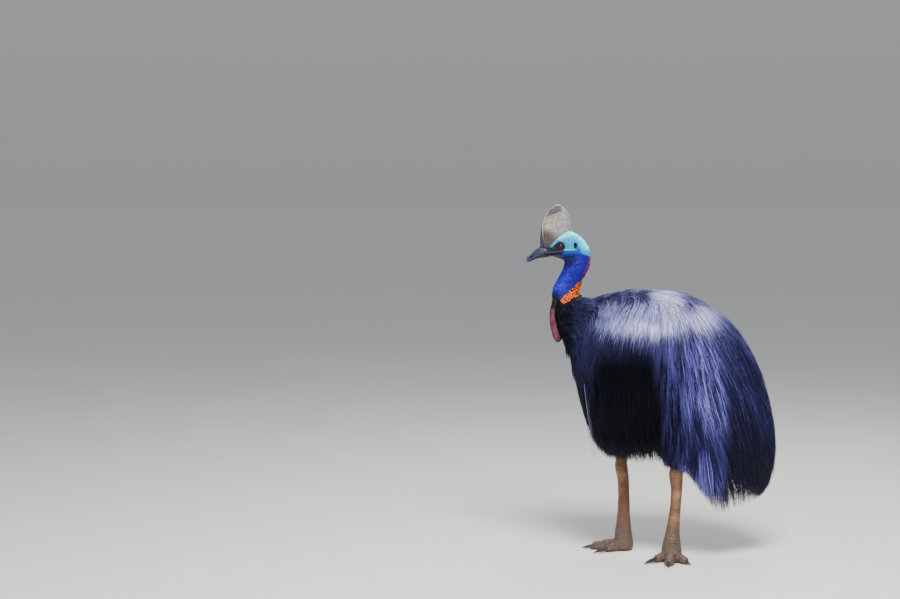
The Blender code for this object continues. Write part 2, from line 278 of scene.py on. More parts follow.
def placed(name, bm):
    """The bmesh as a new object in the scene."""
    made = bpy.data.objects.new(name, bpy.data.meshes.new(name))
    bm.to_mesh(made.data)
    bm.free()
    bpy.context.scene.collection.objects.link(made)
    return made


def drop(made):
    """Takes an object and its mesh away again."""
    mesh = made.data
    bpy.data.objects.remove(made)
    bpy.data.meshes.remove(mesh)


def through(bm, kind, **settings):
    """The bmesh after one modifier."""
    work = placed("work", bm)
    modifier = work.modifiers.new(kind, kind)
    for key, value in settings.items():
        setattr(modifier, key, value)
    result = bmesh.new()
    result.from_object(work, bpy.context.evaluated_depsgraph_get())
    drop(work)
    return result


def smooth(bm, passes, verts=None, factor=0.5):
    """Evens out the surface."""
    verts = bm.verts if verts is None else verts
    axes = {"use_axis_x": True, "use_axis_y": True, "use_axis_z": True}
    for _ in range(passes):
        bmesh.ops.smooth_vert(bm, verts=verts, factor=factor, **axes)


def shell(bm, voxel, passes):
    """One closed even surface round all that is in the bmesh."""
    bm = through(bm, "REMESH", mode="VOXEL", voxel_size=voxel, use_smooth_shade=True)
    smooth(bm, passes)
    return bm


def union(one, other):
    """Two closed surfaces as one."""
    cutter = placed("cutter", other)
    result = through(one, "BOOLEAN", operation="UNION", solver="MANIFOLD", object=cutter)
    drop(cutter)
    return result


def largest_part(bm):
    """Leaves only the part with the most vertices."""
    left, parts = set(bm.verts), []
    while left:
        front = [left.pop()]
        part = list(front)
        while front:
            reached = {v for edge in front.pop().link_edges for v in edge.verts} & left
            left -= reached
            front.extend(reached)
            part.extend(reached)
        parts.append(part)
    parts.sort(key=len)
    bmesh.ops.delete(bm, geom=[v for part in parts[:-1] for v in part], context="VERTS")


def places_of(bm):
    """The vertices' places and normals as arrays."""
    bm.normal_update()
    places = np.array([v.co for v in bm.verts])
    normals = np.array([v.normal for v in bm.verts])
    return places, normals


def put(bm, places):
    """Moves the vertices to these places."""
    for vertex, place in zip(bm.verts, places):
        vertex.co = place


def refine(bm, chosen):
    """Splits the edges whose ends are both chosen, by a test on their places, and evens the new ones."""
    near = chosen(np.array([v.co for v in bm.verts]))
    bm.verts.index_update()
    edges = [e for e in bm.edges if near[e.verts[0].index] and near[e.verts[1].index]]
    bmesh.ops.subdivide_edges(bm, edges=edges, cuts=1, use_grid_fill=True)
    near = chosen(np.array([v.co for v in bm.verts]))
    smooth(bm, 2, [v for v, inside in zip(bm.verts, near) if inside])


def mark(mesh, colours):
    """Gives each of the mesh's vertices its colour."""
    layer = mesh.color_attributes.new("markings", "FLOAT_COLOR", "POINT")
    rows = np.column_stack([colours, np.ones(len(colours))])
    layer.data.foreach_set("color", rows.ravel().astype(np.float32))


def piece(name, source, finish, colours=None, stands_for=()):
    """Makes a bmesh or mesh a finished piece that rides with the bird, in the frame's own place."""
    if isinstance(source, bmesh.types.BMesh):
        bmesh.ops.triangulate(source, faces=[f for f in source.faces if len(f.verts) > 4])
        mesh = bpy.data.meshes.new(name)
        source.to_mesh(mesh)
        source.free()
        if colours is not None:
            mark(mesh, colours)
    else:
        mesh = source
    mesh.transform(Matrix.Translation(BIRD))
    mesh.polygons.foreach_set("use_smooth", [True] * len(mesh.polygons))
    mesh.materials.append(finish)
    made = bpy.data.objects.new(name, mesh)
    bpy.context.scene.collection.objects.link(made)
    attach(made, "root")
    if stands_for:
        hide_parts(*stands_for)
    return made


def tree_of(bm):
    """A bmesh as a tree for rays and nearest places."""
    return BVHTree.FromBMesh(bm)


def nearest(tree, places):
    """The nearest place on the tree's surface to each place, and the surface's normal there."""
    found = [tree.find_nearest(p)[:2] for p in places.tolist()]
    return np.array([f[0] for f in found]), np.array([f[1] for f in found])


def struck(tree, origins, ways):
    """Where rays meet the tree's surface, its normal there, and whether they do."""
    hits = [tree.ray_cast(o, w)[:2] for o, w in zip(origins.tolist(), ways.tolist())]
    hit = np.array([h[0] is not None for h in hits])
    places = np.array([h[0] if h[0] is not None else (0, 0, 0) for h in hits], float)
    normals = np.array([h[1] if h[1] is not None else (0, 0, 1) for h in hits], float)
    return places, normals, hit


# ---------------------------------------------------------------- where things are on the bird
def neck_line(count=81):
    """Even places down the neck's middle line, and the ways along and rearward of it, in X and Z."""
    points = np.array(NECK_LINE)
    run = np.concatenate([[0], np.cumsum(np.linalg.norm(np.diff(points, axis=0), axis=1))])
    at = np.linspace(0, run[-1], count)
    line = along_line(at, run, points)
    along = unit(np.gradient(line, axis=0))
    return line, along, np.column_stack([-along[:, 1], along[:, 0]])


LINE, ALONG, REAR = neck_line()
NECK_MIDDLE = np.column_stack([LINE[:, 0], 0 * LINE[:, 0], LINE[:, 1]])
DOWNWARD = (0, 0, -1)


def neck_place(places):
    """How far down the neck each place is, from 0 to 1, how far behind its middle, and the way along it."""
    flat = places[:, [0, 2]]
    index = np.argmin(np.linalg.norm(flat[:, None] - LINE[None], axis=2), axis=1)
    behind = ((flat - LINE[index]) * REAR[index]).sum(1)
    along = np.zeros((len(places), 3))
    along[:, [0, 2]] = ALONG[index]
    return index / (len(LINE) - 1), behind, along


# The line under the bare skin of the neck, as X and the height there.
BARE_EDGE = (
    [-0.43, -0.405, -0.39, -0.38, -0.371, -0.355, -0.329, -0.296, -0.28],
    [1.094, 1.1, 1.09, 1.076, 1.0735, 1.0825, 1.099, 1.111, 1.12],
)


def bare_edge(x):
    """The height of the line under the bare skin of the neck, over X."""
    return np.interp(x, *BARE_EDGE)


def under_bare(places):
    """How far each place is under the bare skin's edge, or behind it on the nape."""
    x, _, z = places.T
    return bare_edge(x) - z + 1.8 * np.maximum(x + 0.286, 0)


# The patches and lines of the head and neck in side view, as X and Z.
ORANGE_PATCH = [
    (-0.302, 1.172), (-0.315, 1.159), (-0.33, 1.144), (-0.359, 1.118), (-0.378, 1.101),
    (-0.388, 1.088), (-0.384, 1.076), (-0.372, 1.074), (-0.355, 1.083), (-0.329, 1.099),
    (-0.296, 1.11), (-0.286, 1.156),
]
GAPE_LINE = [
    (-0.464, 1.285), (-0.418, 1.2895), (-0.388, 1.293), (-0.371, 1.2975), (-0.334, 1.2995),
    (-0.322, 1.2985),
]
JAW_LINE = [(-0.478, 1.273), (-0.4325, 1.2821), (-0.3824, 1.2862)]
JAW_STRIP = [(-0.45, 1.2705), (-0.4383, 1.2722), (-0.3853, 1.2738)]
BROW_LINE = [(-0.426, 1.314), (-0.409, 1.3315), (-0.397, 1.34), (-0.377, 1.337), (-0.362, 1.328)]
CROWN_LINE = [
    (-0.421, 1.344), (-0.395, 1.36), (-0.365, 1.372), (-0.336, 1.377), (-0.305, 1.36),
    (-0.284, 1.338), (-0.268, 1.313),
]
NAPE_LINE = [(-0.2575, 1.276), (-0.266, 1.233), (-0.282, 1.2), (-0.295, 1.165)]
LORES = [
    (-0.47, 1.265), (-0.386, 1.265), (-0.378, 1.283), (-0.3735, 1.2965), (-0.3678, 1.307),
    (-0.3668, 1.319), (-0.375, 1.332), (-0.394, 1.3372), (-0.4091, 1.324), (-0.423, 1.311),
    (-0.47, 1.311),
]
THROAT = [
    (-0.41, 1.264), (-0.3765, 1.28), (-0.3235, 1.282), (-0.3205, 1.2556), (-0.3468, 1.223),
    (-0.365, 1.22), (-0.385, 1.245),
]
EAR_X, EAR_Z = -0.3255, 1.319
# Half the width and half the height of the openings of the eye and the ear, and how far the ear leans.
EYE_OPENING = (0.0104, 0.0081)
EAR_OPENING = (0.0052, 0.0105)
EAR_LEAN = math.radians(18)


def eye_place(places):
    """Where each place is in the eye's opening, 1 at the lids' edge, and how far from the ball's centre."""
    x, y, z = places.T
    across = (x - EYE_X) / EYE_OPENING[0]
    up = (z - EYE_Z + 0.0003) / EYE_OPENING[1]
    ball = np.sqrt((x - EYE_X) ** 2 + (np.abs(y) - EYE_OUT) ** 2 + (z - EYE_Z) ** 2)
    return np.hypot(across, up), ball


def ear_place(places):
    """How far each place is from the ear's opening, where 1 is its edge."""
    x, _, z = places.T
    dx, dz = x - EAR_X, z - EAR_Z
    along = dz * math.cos(EAR_LEAN) - dx * math.sin(EAR_LEAN)
    across = dx * math.cos(EAR_LEAN) + dz * math.sin(EAR_LEAN)
    return np.hypot(across / EAR_OPENING[0], along / EAR_OPENING[1])


# ---------------------------------------------------------------- skin
def finder_of(points):
    """A finder of the nearest of some points."""
    finder = KDTree(len(points))
    for index, point in enumerate(points):
        finder.insert(point, index)
    finder.balance()
    return finder


def spread_out(places, spacing, seed):
    """The indexes of well spread places, no nearer to each other than the spacing."""
    order = np.random.default_rng(seed).permutation(len(places))
    kept = np.full((len(places), 3), 9.0)
    chosen = []
    for index in order:
        if ((kept[: len(chosen) + 1] - places[index]) ** 2).sum(1).min() > spacing**2:
            kept[len(chosen)] = places[index]
            chosen.append(index)
    return np.array(chosen)


def from_knobs(places, chosen, centres):
    """How far each chosen place is from the nearest centre, and which centre that is."""
    finder = finder_of(centres)
    distance = np.full(len(places), 1.0)
    which = np.zeros(len(places), int)
    for index in np.nonzero(chosen)[0]:
        _, which[index], distance[index] = finder.find(places[index])
    return distance, which


def cut(bm, place, way):
    """Takes away all that lies beyond a plane, and closes the hole."""
    geometry = bm.verts[:] + bm.edges[:] + bm.faces[:]
    bmesh.ops.bisect_plane(bm, geom=geometry, plane_co=place, plane_no=way, clear_outer=True)
    bmesh.ops.holes_fill(bm, edges=[e for e in bm.edges if e.is_boundary], sides=0)
    return bm


def limb_line(name, ahead=DOWNWARD, count=12):
    """Places down the middle of a limb's CAD node, in the order that ahead points."""
    bm = shell(forms([name]), 0.005, 1)
    places, _ = places_of(bm)
    bm.free()
    spread = places - places.mean(0)
    main = np.linalg.svd(spread, full_matrices=False)[2][0]
    main = main * np.sign(main @ np.array(ahead))
    share = spread @ main
    ends = np.linspace(share.min(), share.max(), count + 1)
    slices = [(share >= low) & (share <= high) for low, high in zip(ends[:-1], ends[1:])]
    return np.array([places[inside].mean(0) for inside in slices])


# The sizes of the voxels, in metres, that the skin's parts are closed with.
TRUNK_VOXEL, HEAD_VOXEL, FEET_VOXEL = 0.014, 0.0045, 0.005
# How deep the flesh of the trunk lies under the CAD's surface, over X and over the way down the neck.
TRUNK_DEPTH = ([-0.36, -0.28, -0.1, 0.2, 0.35], [0.014, 0.026, 0.034, 0.036, 0.04])
NECK_DEPTH = ([0.45, 0.6, 0.72, 0.86, 1.0], [0.005, 0.009, 0.014, 0.02, 0.05])
NAPE_DEPTH = 0.019
# The height of the belly over X, and where the flesh begins to end before the feathers of the rump do.
BELLY = ([-0.35, -0.25, 0.06, 0.24, 0.42], [0.0, 0.47, 0.5, 0.6, 0.78])
RUMP_START, RUMP_SHARE = 0.3, 0.55
# A thigh's radius over its height.
THIGH_RADIUS = ([0.394, 0.425, 0.47, 0.54], [0.0225, 0.026, 0.038, 0.052])
# How far the neck's foot is drawn in to its middle line, over the depth under the bare skin's edge.
COLLAR_PULL = ([0.0, 0.005, 0.03, 0.06, 0.1], [0.0, 0.09, 0.18, 0.42, 0.6])


def trunk_flesh():
    """The flesh of the trunk and the thighs, lying inside the coat."""
    trunk = shell(forms(["neck_lower"] + TRUNK + WINGS), TRUNK_VOXEL, 3)
    places, normals = places_of(trunk)
    x, _, _ = places.T
    down, _, _ = neck_place(places)
    depth = np.interp(x, *TRUNK_DEPTH)
    shallow = np.minimum(depth, np.interp(down, *NECK_DEPTH))
    depth += ease(-0.19, -0.25, x) * (shallow - depth)
    depth = np.maximum(depth, NAPE_DEPTH * ease(1.03, 1.06, places[:, 2]) * ease(-0.33, -0.3, x))
    places -= normals * depth[:, None]
    places[:, 2] = np.maximum(places[:, 2], np.interp(x, *BELLY))
    shortened = RUMP_START + (places[:, 0] - RUMP_START) * RUMP_SHARE
    places[:, 0] = np.where(x > RUMP_START, shortened, places[:, 0])
    put(trunk, places)

    # The thighs reach up into the trunk and narrow down to the shanks.
    limbs = bmesh.new()
    for side in SIDES:
        ankle = limb_line("shank_" + side)[0]
        thigh = limb_line("thigh_" + side)[7:3:-1]
        hip = thigh[-1] * (0.62, 0.55, 0) + (0, 0, 0.6)
        line = np.vstack([ankle, ankle + (0, 0, 0.03), thigh, hip])
        for place in along_line(np.linspace(0, len(line) - 1, 40), np.arange(len(line)), line):
            place[1] *= np.interp(place[2], [0.42, 0.5], [1.0, 0.88])
            radius = np.interp(place[2], *THIGH_RADIUS)
            at = Matrix.Translation(place)
            bmesh.ops.create_icosphere(limbs, subdivisions=2, radius=radius, matrix=at)
    join(trunk, limbs)
    trunk = shell(trunk, TRUNK_VOXEL, 6)

    # What still lies too near the coat's surface is drawn in under it.
    places, _ = places_of(trunk)
    over, outward = nearest(coat_cover(), places)
    inside = ((over - places) * outward).sum(1)
    room = 0.012 + 0.008 * ease(-0.24, -0.18, places[:, 0])
    room = room * ease(0.42, 0.47, places[:, 2]) * ease(-0.31, -0.28, places[:, 0])
    put(trunk, places - outward * np.maximum(room - inside, 0)[:, None])
    return trunk


def flesh():
    """The whole of the flesh as one closed surface."""
    trunk = trunk_flesh()

    # The horn stands on the head, so the flesh fills only its foot.
    horn = cut(forms(["casque", "bill_upper", "bill_lower"], 0.003), (-0.455, 0, 0), (-1, 0, 0))
    head = cut(horn, (0, 0, 1.39), (0, 0, 1))
    join(head, forms(["head", "neck_upper", "neck_lower", "neck_base", "eye_left", "eye_right"] + WATTLES))
    head = shell(head, HEAD_VOXEL, 4)
    places, _ = places_of(head)
    down, _, _ = neck_place(places)
    share = np.interp(under_bare(places), *COLLAR_PULL) * (1 - in_wattle(places))
    inward = NECK_MIDDLE[np.round(down * (len(LINE) - 1)).astype(int)] - places
    put(head, places + inward * share[:, None])
    feet = shell(forms(FEET + TOES), FEET_VOXEL, 3)
    body = union(union(trunk, head), feet)
    largest_part(body)

    # The seam of the neck and the trunk, under the feathers of the collar.
    places, _ = places_of(body)
    seam = (np.abs(under_bare(places) - 0.042) < 0.028) & (places[:, 0] < -0.22) & (in_wattle(places) < 0.1)
    smooth(body, 12, [v for v, near in zip(body.verts, seam) if near])
    return body


def sculpt(bm):
    """Lids, brow, ear, gape, wrinkles, knobs and folds of the wattles. Returns the knobs' centres."""

    def bare(places):
        x, y, z = places.T
        wattles = (x < -0.386) & (z > 0.88) & (np.abs(y) < 0.05)
        return (z > bare_edge(x) - 0.01) & (x < -0.24) & (z > 1.05) | wattles

    def face(places):
        x, y, z = places.T
        return (z > 1.272) & (z < 1.346) & (x < -0.3) & (np.abs(y) > 0.008)

    def knobs(places):
        return in_patch(places[:, [0, 2]], ORANGE_PATCH) > -0.004

    def holes(places):
        opening, _ = eye_place(places)
        return ((opening < 2.0) | (ear_place(places) < 1.6)) & (np.abs(places[:, 1]) > 0.012)

    for chosen in (bare, face, knobs, holes):
        refine(bm, chosen)

    places, normals = places_of(bm)
    x, y, z = places.T
    flat = places[:, [0, 2]]
    outer = ease(0.01, 0.02, np.abs(y)) * ease(1.23, 1.25, z)
    move = np.zeros(len(places))

    ear = ear_place(places)
    for height, shape in (
        (0.0022, hill(off_line(flat, BROW_LINE), 0.004)),  # the brow
        (-0.0026, spot(flat, -0.41, 1.312, 0.012)),  # the hollow in front of the eye
        (0.0017, hill(off_line(flat, GAPE_LINE), 0.0026)),  # the ridge that runs back from the gape
        (-0.0014, hill(off_line(flat - (0, -0.0062), GAPE_LINE), 0.0026)),  # the fold under that ridge
        (0.0012, spot(flat, -0.35, 1.278, 0.009, 1.6)),  # the cheek
        (-0.0075, ease(1.15, 0.55, ear)),  # the ear's deep hole
        (0.0013, hill(ear - 1.45, 0.28)),  # the raised rim round it
    ):
        move += height * outer * shape

    # Skin creased across the neck, and finely pebbled on the head.
    down, behind, _ = neck_place(places)
    neck = ease(1.275, 1.25, z) * (z > bare_edge(x) - 0.01) * (x < -0.24)
    rings = np.sin(down * 190 + 3.0 * ripple(places, 0.03, 3)) * (0.4 + 0.6 * ripple(places, 0.022, 4))
    move += neck * (0.00055 * rings + 0.0007 * ripple(places, 0.009, 5))
    move += neck * 0.001 * ease(0.02, 0.045, behind) * np.sin(down * 150 + 2 * ripple(places, 0.02, 6))
    on_head = ease(1.25, 1.275, z) * (x < -0.24)
    move += on_head * 0.00025 * ripple(places, 0.0045, 7)
    places += normals * move[:, None]

    # Lids stand a little off the eyeball and close over its edge; inside them the skin drops behind the ball.
    opening, ball = eye_place(places)
    eye = np.array([EYE_X, EYE_OUT, EYE_Z])
    for sign in SIDES.values():
        centre = eye * (1, sign, 1)
        from_eye = places - centre
        own = (y * sign > 0.008) & (opening < 2.2)
        lid = 0.0019 * hill(opening - 1.18, 0.26) + 0.0004
        wanted = np.where(opening < 1, EYE_RADIUS - 0.003, EYE_RADIUS + lid)
        away = np.where((opening < 1) | (ball < wanted), wanted, ball)
        fold = 0.001 * hill(opening - 1.75, 0.16)
        places = np.where(own[:, None], centre + unit(from_eye) * (away - fold)[:, None], places)

    # Round knobs crowd the orange patch of the nape.
    patch = in_patch(flat, ORANGE_PATCH) > -0.001
    inside = places[in_patch(flat, ORANGE_PATCH) > 0.002]
    centres = inside[spread_out(inside, 0.008, 11)]
    distance, which = from_knobs(places, patch, centres)
    swell = np.random.default_rng(12).uniform(0.0024, 0.0048, len(centres))[which]
    dome = np.sqrt(np.clip(1 - (distance / 0.0066) ** 2, 0, 1))
    places += normals * (swell * dome * (distance < 0.5))[:, None]

    # The wattles hang in soft lengthwise folds.
    wattle = in_wattle(places)
    folds = 0.0011 * ripple(places, 0.007, 8, (1, 1, 3)) + 0.0005 * ripple(places, 0.003, 9)
    places += normals * (wattle * folds)[:, None]
    put(bm, places)
    lids = [v for v, share in zip(bm.verts, opening) if 1.05 < share < 2.4 and v.co.z > 1.28]
    smooth(bm, 1, lids, 0.35)
    return centres


# The rear edge of the wattles, as Z and the X there.
WATTLE_REAR = (
    [0.9, 0.93, 0.975, 1.02, 1.062, 1.09],
    [-0.38, -0.388, -0.4035, -0.4125, -0.4095, -0.405],
)


def in_wattle(places):
    """1 on the wattles and 0 elsewhere."""
    x, y, z = places.T
    before_rear = ease(0.0015, -0.0015, x - np.interp(z, *WATTLE_REAR))
    return before_rear * ease(1.092, 1.08, z) * ease(0.06, 0.05, np.abs(y))


# The lower edge of the head's blue and of its turquoise, as X and the height there.
FACE_EDGE = (
    [-0.45, -0.385, -0.371, -0.324, -0.3, -0.276, -0.26],
    [1.268, 1.267, 1.279, 1.282, 1.285, 1.276, 1.268],
)
TURQUOISE_EDGE = ([-0.4, -0.371, -0.318, -0.3, -0.26], [1.292, 1.294, 1.2945, 1.285, 1.266])


def paint_skin(bm, centres, look):
    """The skin's markings as a colour for each vertex."""
    places, _ = places_of(bm)
    x, y, z = places.T
    flat = places[:, [0, 2]]
    small, wide = ripple(places, 0.006, 21), ripple(places, 0.018, 22)
    colours = plain(look.under_coat, len(places))
    paint_leg(colours, places, look)

    # The neck, with lighter mottling, a dark throat that is partly painted shadow under the bill, and the
    # dark edge above the wattles.
    bare = ease(-0.003, 0.002, z - bare_edge(x)) * (x < -0.24) * (z > 1.0)
    mottle = ease(-0.3, 0.7, small + 0.7 * wide)
    above_wattles = ease(1.135, 1.108, z - 0.25 * (x + 0.4)) * ease(-0.375, -0.388, x)
    tints(colours, [
        (look.neck, bare),
        (look.neck_light, bare * spot(flat, -0.398, 1.152, 0.028, 1.1, 1.4) * (0.45 + 0.55 * mottle)),
        (look.neck_light, bare * 0.65 * spot(flat, -0.35, 1.2, 0.024) * mottle),
        (look.neck_light, bare * 0.45 * spot(flat, -0.31, 1.238, 0.02) * mottle),
        # The throat's navy, partly painted shadow under the bill.
        (look.throat, bare * ease(-0.006, 0.01, in_patch(flat, THROAT) + 0.002 * wide) * 0.95),
        (look.under_coat, bare * above_wattles * 0.85),
    ])

    # The face: blue below and turquoise above, palest along the crown, where the paleness is partly a painted
    # highlight on the top of the head, with dark notches behind the ear.
    face = ease(-0.007, 0.006, z - np.interp(x, *FACE_EDGE) + 0.0025 * wide) * (x < -0.24)
    above = ease(-0.004, 0.005, z - np.interp(x, *TURQUOISE_EDGE))
    crown = face * above * hill(off_line(flat, CROWN_LINE), 0.016)
    tints(colours, [
        (look.cheek, face),
        (look.ear, face * above),
        (look.crown, crown * (0.85 + 0.15 * small)),
        (look.crown, face * 0.35 * spot(flat, -0.302, 1.318, 0.014)),
        ("#004E8E", face * 0.95 * spot(flat, -0.314, 1.304, 0.012, 1.0, 1.6)),
        ("#003272", face * 0.85 * spot(flat, -0.317, 1.2935, 0.009, 1.7)),
        (look.crown, face * 0.22 * hill(off_line(flat, GAPE_LINE[3:]), 0.0026)),
        (look.cheek, face * 0.6 * hill(off_line(flat - (0, -0.0046), GAPE_LINE[3:]), 0.002)),
    ])

    # The dark lores and chin, the lines of gape and jaw, a painted highlight along the jaw's lower edge, the
    # lids, and the ear's hole, darkened inside with painted shade.
    outer = (np.abs(y) > 0.01) | (z < 1.286)
    opening, _ = eye_place(places)
    ear = ear_place(places)
    lores = ease(-0.0025, 0.0035, in_patch(flat, LORES) + 0.0006 * small) * outer
    chin = ease(1.2655, 1.2625, z) * ease(1.24, 1.248, z) * ease(-0.368, -0.38, x)
    tints(colours, [
        (look.lore, lores),
        ("#12121F", lores * ease(1.3, 1.29, z) * ease(-0.375, -0.395, x)),
        (look.lore, chin),
        (look.ear, face * 0.85 * hill(off_line(flat, BROW_LINE[:3]) - 0.001, 0.0024)),
        ("#3A3C60", outer * 0.9 * hill(off_line(flat, GAPE_LINE[:4]), 0.0017)),
        ("#05050C", outer * hill(off_line(flat, JAW_LINE), 0.0016)),
        # A painted highlight along the jaw's lower edge.
        ("#6A6A66", outer * 0.9 * hill(off_line(flat, JAW_STRIP), 0.0017)),
        ("#0A0608", outer * ease(1.5, 1.15, opening)),
        (look.lore, outer * ease(1.3, 0.85, ear)),
        # Near black inside the ear's hole: painted shade in the recess.
        ("#020408", outer * ease(0.95, 0.5, ear)),
    ])

    # The strip down the nape, and the orange knobs, with painted highlights on their tops and painted shade
    # in the dark gaps between them.
    strip = bare * ease(0.011, 0.006, off_line(flat, NAPE_LINE)) * ease(1.276, 1.268, z)
    deep = in_patch(flat, ORANGE_PATCH)
    patch = ease(-0.002, 0.001, deep)
    distance, which = from_knobs(places, deep > -0.003, centres)
    pick = np.random.default_rng(13).uniform(0, 1, len(centres))[which]
    tints(colours, [
        (look.nape, strip),
        # Painted shade in the gaps between the knobs.
        ("#461200", patch),
        (look.orange, patch * ease(0.0064, 0.0046, distance)),
        (look.knob_highlights, patch * ease(0.0044, 0.0008, distance) * (0.25 + 0.75 * pick)),
        ("#82444C", patch * 0.6 * ease(1.096, 1.08, z) * ease(-0.365, -0.378, x)),
    ])

    # The wattles, with darker streaks of painted shade for their folds, and darker at their roots.
    wattle = in_wattle(places)
    tints(colours, [
        (look.wattle, wattle),
        # Darker streaks: painted shade for the folds.
        ("#38101E", wattle * ease(-0.1, 0.8, ripple(places, 0.012, 23, (1, 1, 2.5))) * 0.6),
        (look.under_coat, wattle * ease(1.04, 1.062, z) * 0.92),
    ])
    shade = 1 + 0.14 * small[:, None] + 0.08 * ripple(places, 0.0022, 24)[:, None]
    return np.clip(colours * shade, 0, 1)


# ---------------------------------------------------------------- horn
# The casque's front and rear edge over its height, as height, front X and rear X.
CASQUE_EDGE = [
    (1.3, -0.466, -0.375), (1.335, -0.472, -0.35), (1.37, -0.47, -0.337), (1.405, -0.464, -0.34),
    (1.437, -0.452, -0.347), (1.462, -0.437, -0.358), (1.481, -0.418, -0.375), (1.489, -0.401, -0.391),
]
# How far behind the front edge the rim of the side faces runs, over the height.
CASQUE_RIM = ([1.33, 1.36, 1.385, 1.42, 1.45], [0.0137, 0.0105, 0.006, 0.0018, 0.0012])
# The worn pink patch and the dark patch on its faces, as X and Z.
PINK_PATCH = [(-0.384, 1.47), (-0.34, 1.43), (-0.337, 1.37), (-0.405, 1.378)]
DARK_PATCH = [
    (-0.45, 1.437), (-0.43, 1.443), (-0.405, 1.4515), (-0.383, 1.463), (-0.379, 1.48),
    (-0.4, 1.4895), (-0.43, 1.476), (-0.448, 1.452),
]


def casque_edges(x, z):
    """How far behind the casque's front edge, behind the rim there and before the rear edge each place is."""
    heights, fronts, rears = np.array(CASQUE_EDGE).T
    from_front = x - np.interp(z, heights, fronts)
    return from_front, from_front - np.interp(z, *CASQUE_RIM), np.interp(z, heights, rears) - x


def paint_casque(places, look):
    """The casque's markings: pale worn faces, a dark crown, a slate front and a light rim."""
    x, _, z = places.T
    flat = places[:, [0, 2]]
    wide, small = ripple(places, 0.03, 31), ripple(places, 0.01, 32)
    colours = plain(look.casque, len(places))
    worn = ease(-0.3, 0.6, wide + 0.4 * small) * ease(1.37, 1.39, z) * ease(-0.375, -0.39, x)
    dark = ease(-0.003, 0.004, in_patch(flat, DARK_PATCH) + 0.002 * small)
    _, from_rim, to_rear = casque_edges(x, z)
    tints(colours, [
        (look.casque_light, 0.85 * worn),
        ("#72667A", 0.65 * ease(-0.006, 0.008, in_patch(flat, PINK_PATCH) + 0.004 * small)),
        (look.casque_light, 0.5 * spot(flat, -0.366, 1.424, 0.01) * ease(-0.5, 0.5, small)),
        (look.casque_dark, 0.92 * dark),
        ("#3E3056", 0.9 * dark * ease(-0.405, -0.425, x) * ease(-0.6, 0.6, small)),
        ("#281E1A", 0.95 * ease(1.392, 1.345, z + 0.3 * (x + 0.4)) * ease(-0.392, -0.425, x)),
        ("#33261F", 0.7 * ease(1.372, 1.345, z) * ease(-0.425, -0.4, x)),
        (look.casque_front, ease(0.001, -0.001, from_rim) * ease(1.425, 1.395, z)),
        (look.casque_rim, 0.85 * hill(from_rim, 0.0019) * ease(1.335, 1.375, z)),
        (look.casque_rim, 0.6 * hill(to_rear - 0.001, 0.0026) * ease(1.37, 1.39, z)),
        (look.casque_rim, 0.7 * ease(1.482, 1.4885, z)),
        (look.bill, 0.85 * ease(1.328, 1.314, z + 0.15 * (x + 0.4))),
    ])
    streaks = ripple(places, 0.003, 34, (1, 1, 9)) + 0.6 * ripple(places, 0.004, 35, (8, 1, 1))
    return np.clip(colours * (1 + 0.16 * streaks[:, None] + 0.12 * small[:, None]), 0, 1)


def sculpt_casque(bm):
    """Flattens the casque's faces behind a keel, rounds a rim over the top and cuts fine growth lines."""
    places, normals = places_of(bm)
    x, _, z = places.T
    faces = ease(0.35, 0.8, np.abs(normals[:, 1]))
    _, from_rim, to_rear = casque_edges(x, z)
    move = 0.0013 * hill(from_rim, 0.0026) * ease(1.33, 1.36, z)
    move -= 0.0016 * hill(from_rim + 0.006, 0.0036) * ease(1.425, 1.395, z)
    move -= 0.0014 * spot(places[:, [0, 2]], -0.405, 1.425, 0.024, 0.9, 1.5)
    move += 0.0008 * hill(np.minimum(to_rear, 1.489 - z) - 0.006, 0.0035)
    move += 0.0009 * ripple(places, 0.021, 36) + 0.00035 * ripple(places, 0.0035, 37, (1, 1, 9))
    move += 0.0003 * ripple(places, 0.005, 38, (8, 1, 1))
    places += normals * (move * faces)[:, None]
    put(bm, places)


# The lines of the bill in side view, as X and Z.
NOSTRIL = [(-0.516, 1.2675), (-0.5055, 1.2731)]
NOSTRIL_GROOVE = [(-0.522, 1.2605), (-0.5, 1.279), (-0.47, 1.295), (-0.44, 1.3)]
CULMEN = [
    (-0.536, 1.259), (-0.524, 1.269), (-0.509, 1.282), (-0.492, 1.2985), (-0.474, 1.311),
    (-0.454, 1.315),
]
CUTTING_EDGE = [
    (-0.54, 1.247), (-0.524, 1.2505), (-0.509, 1.259), (-0.492, 1.269), (-0.474, 1.2762),
    (-0.444, 1.283),
]
LOWER_STRIP = [(-0.486, 1.259), (-0.47, 1.264), (-0.436, 1.2665)]
# The height about which the bill narrows where it goes under the skin, and by how much.
BILL_ROOT_Z, BILL_ROOT_SHARE = 1.276, 0.34


def sculpt_bill(bm):
    """Presses in the nostril and its groove, and narrows the bill's root."""
    places, normals = places_of(bm)
    x, _, z = places.T
    flat = places[:, [0, 2]]
    sides = ease(0.25, 0.7, np.abs(normals[:, 1]))
    move = -0.0034 * hill(off_line(flat, NOSTRIL), 0.0016)
    move -= 0.001 * hill(off_line(flat, NOSTRIL_GROOVE), 0.0028)
    move += 0.00016 * ripple(places, 0.003, 41, (5, 1, 1))
    places += normals * (move * sides)[:, None]
    sunk = 1 - BILL_ROOT_SHARE * ease(-0.456, -0.438, x) * ease(1.292, 1.286, z)
    places[:, 1] *= sunk
    places[:, 2] = BILL_ROOT_Z + (places[:, 2] - BILL_ROOT_Z) * sunk
    put(bm, places)


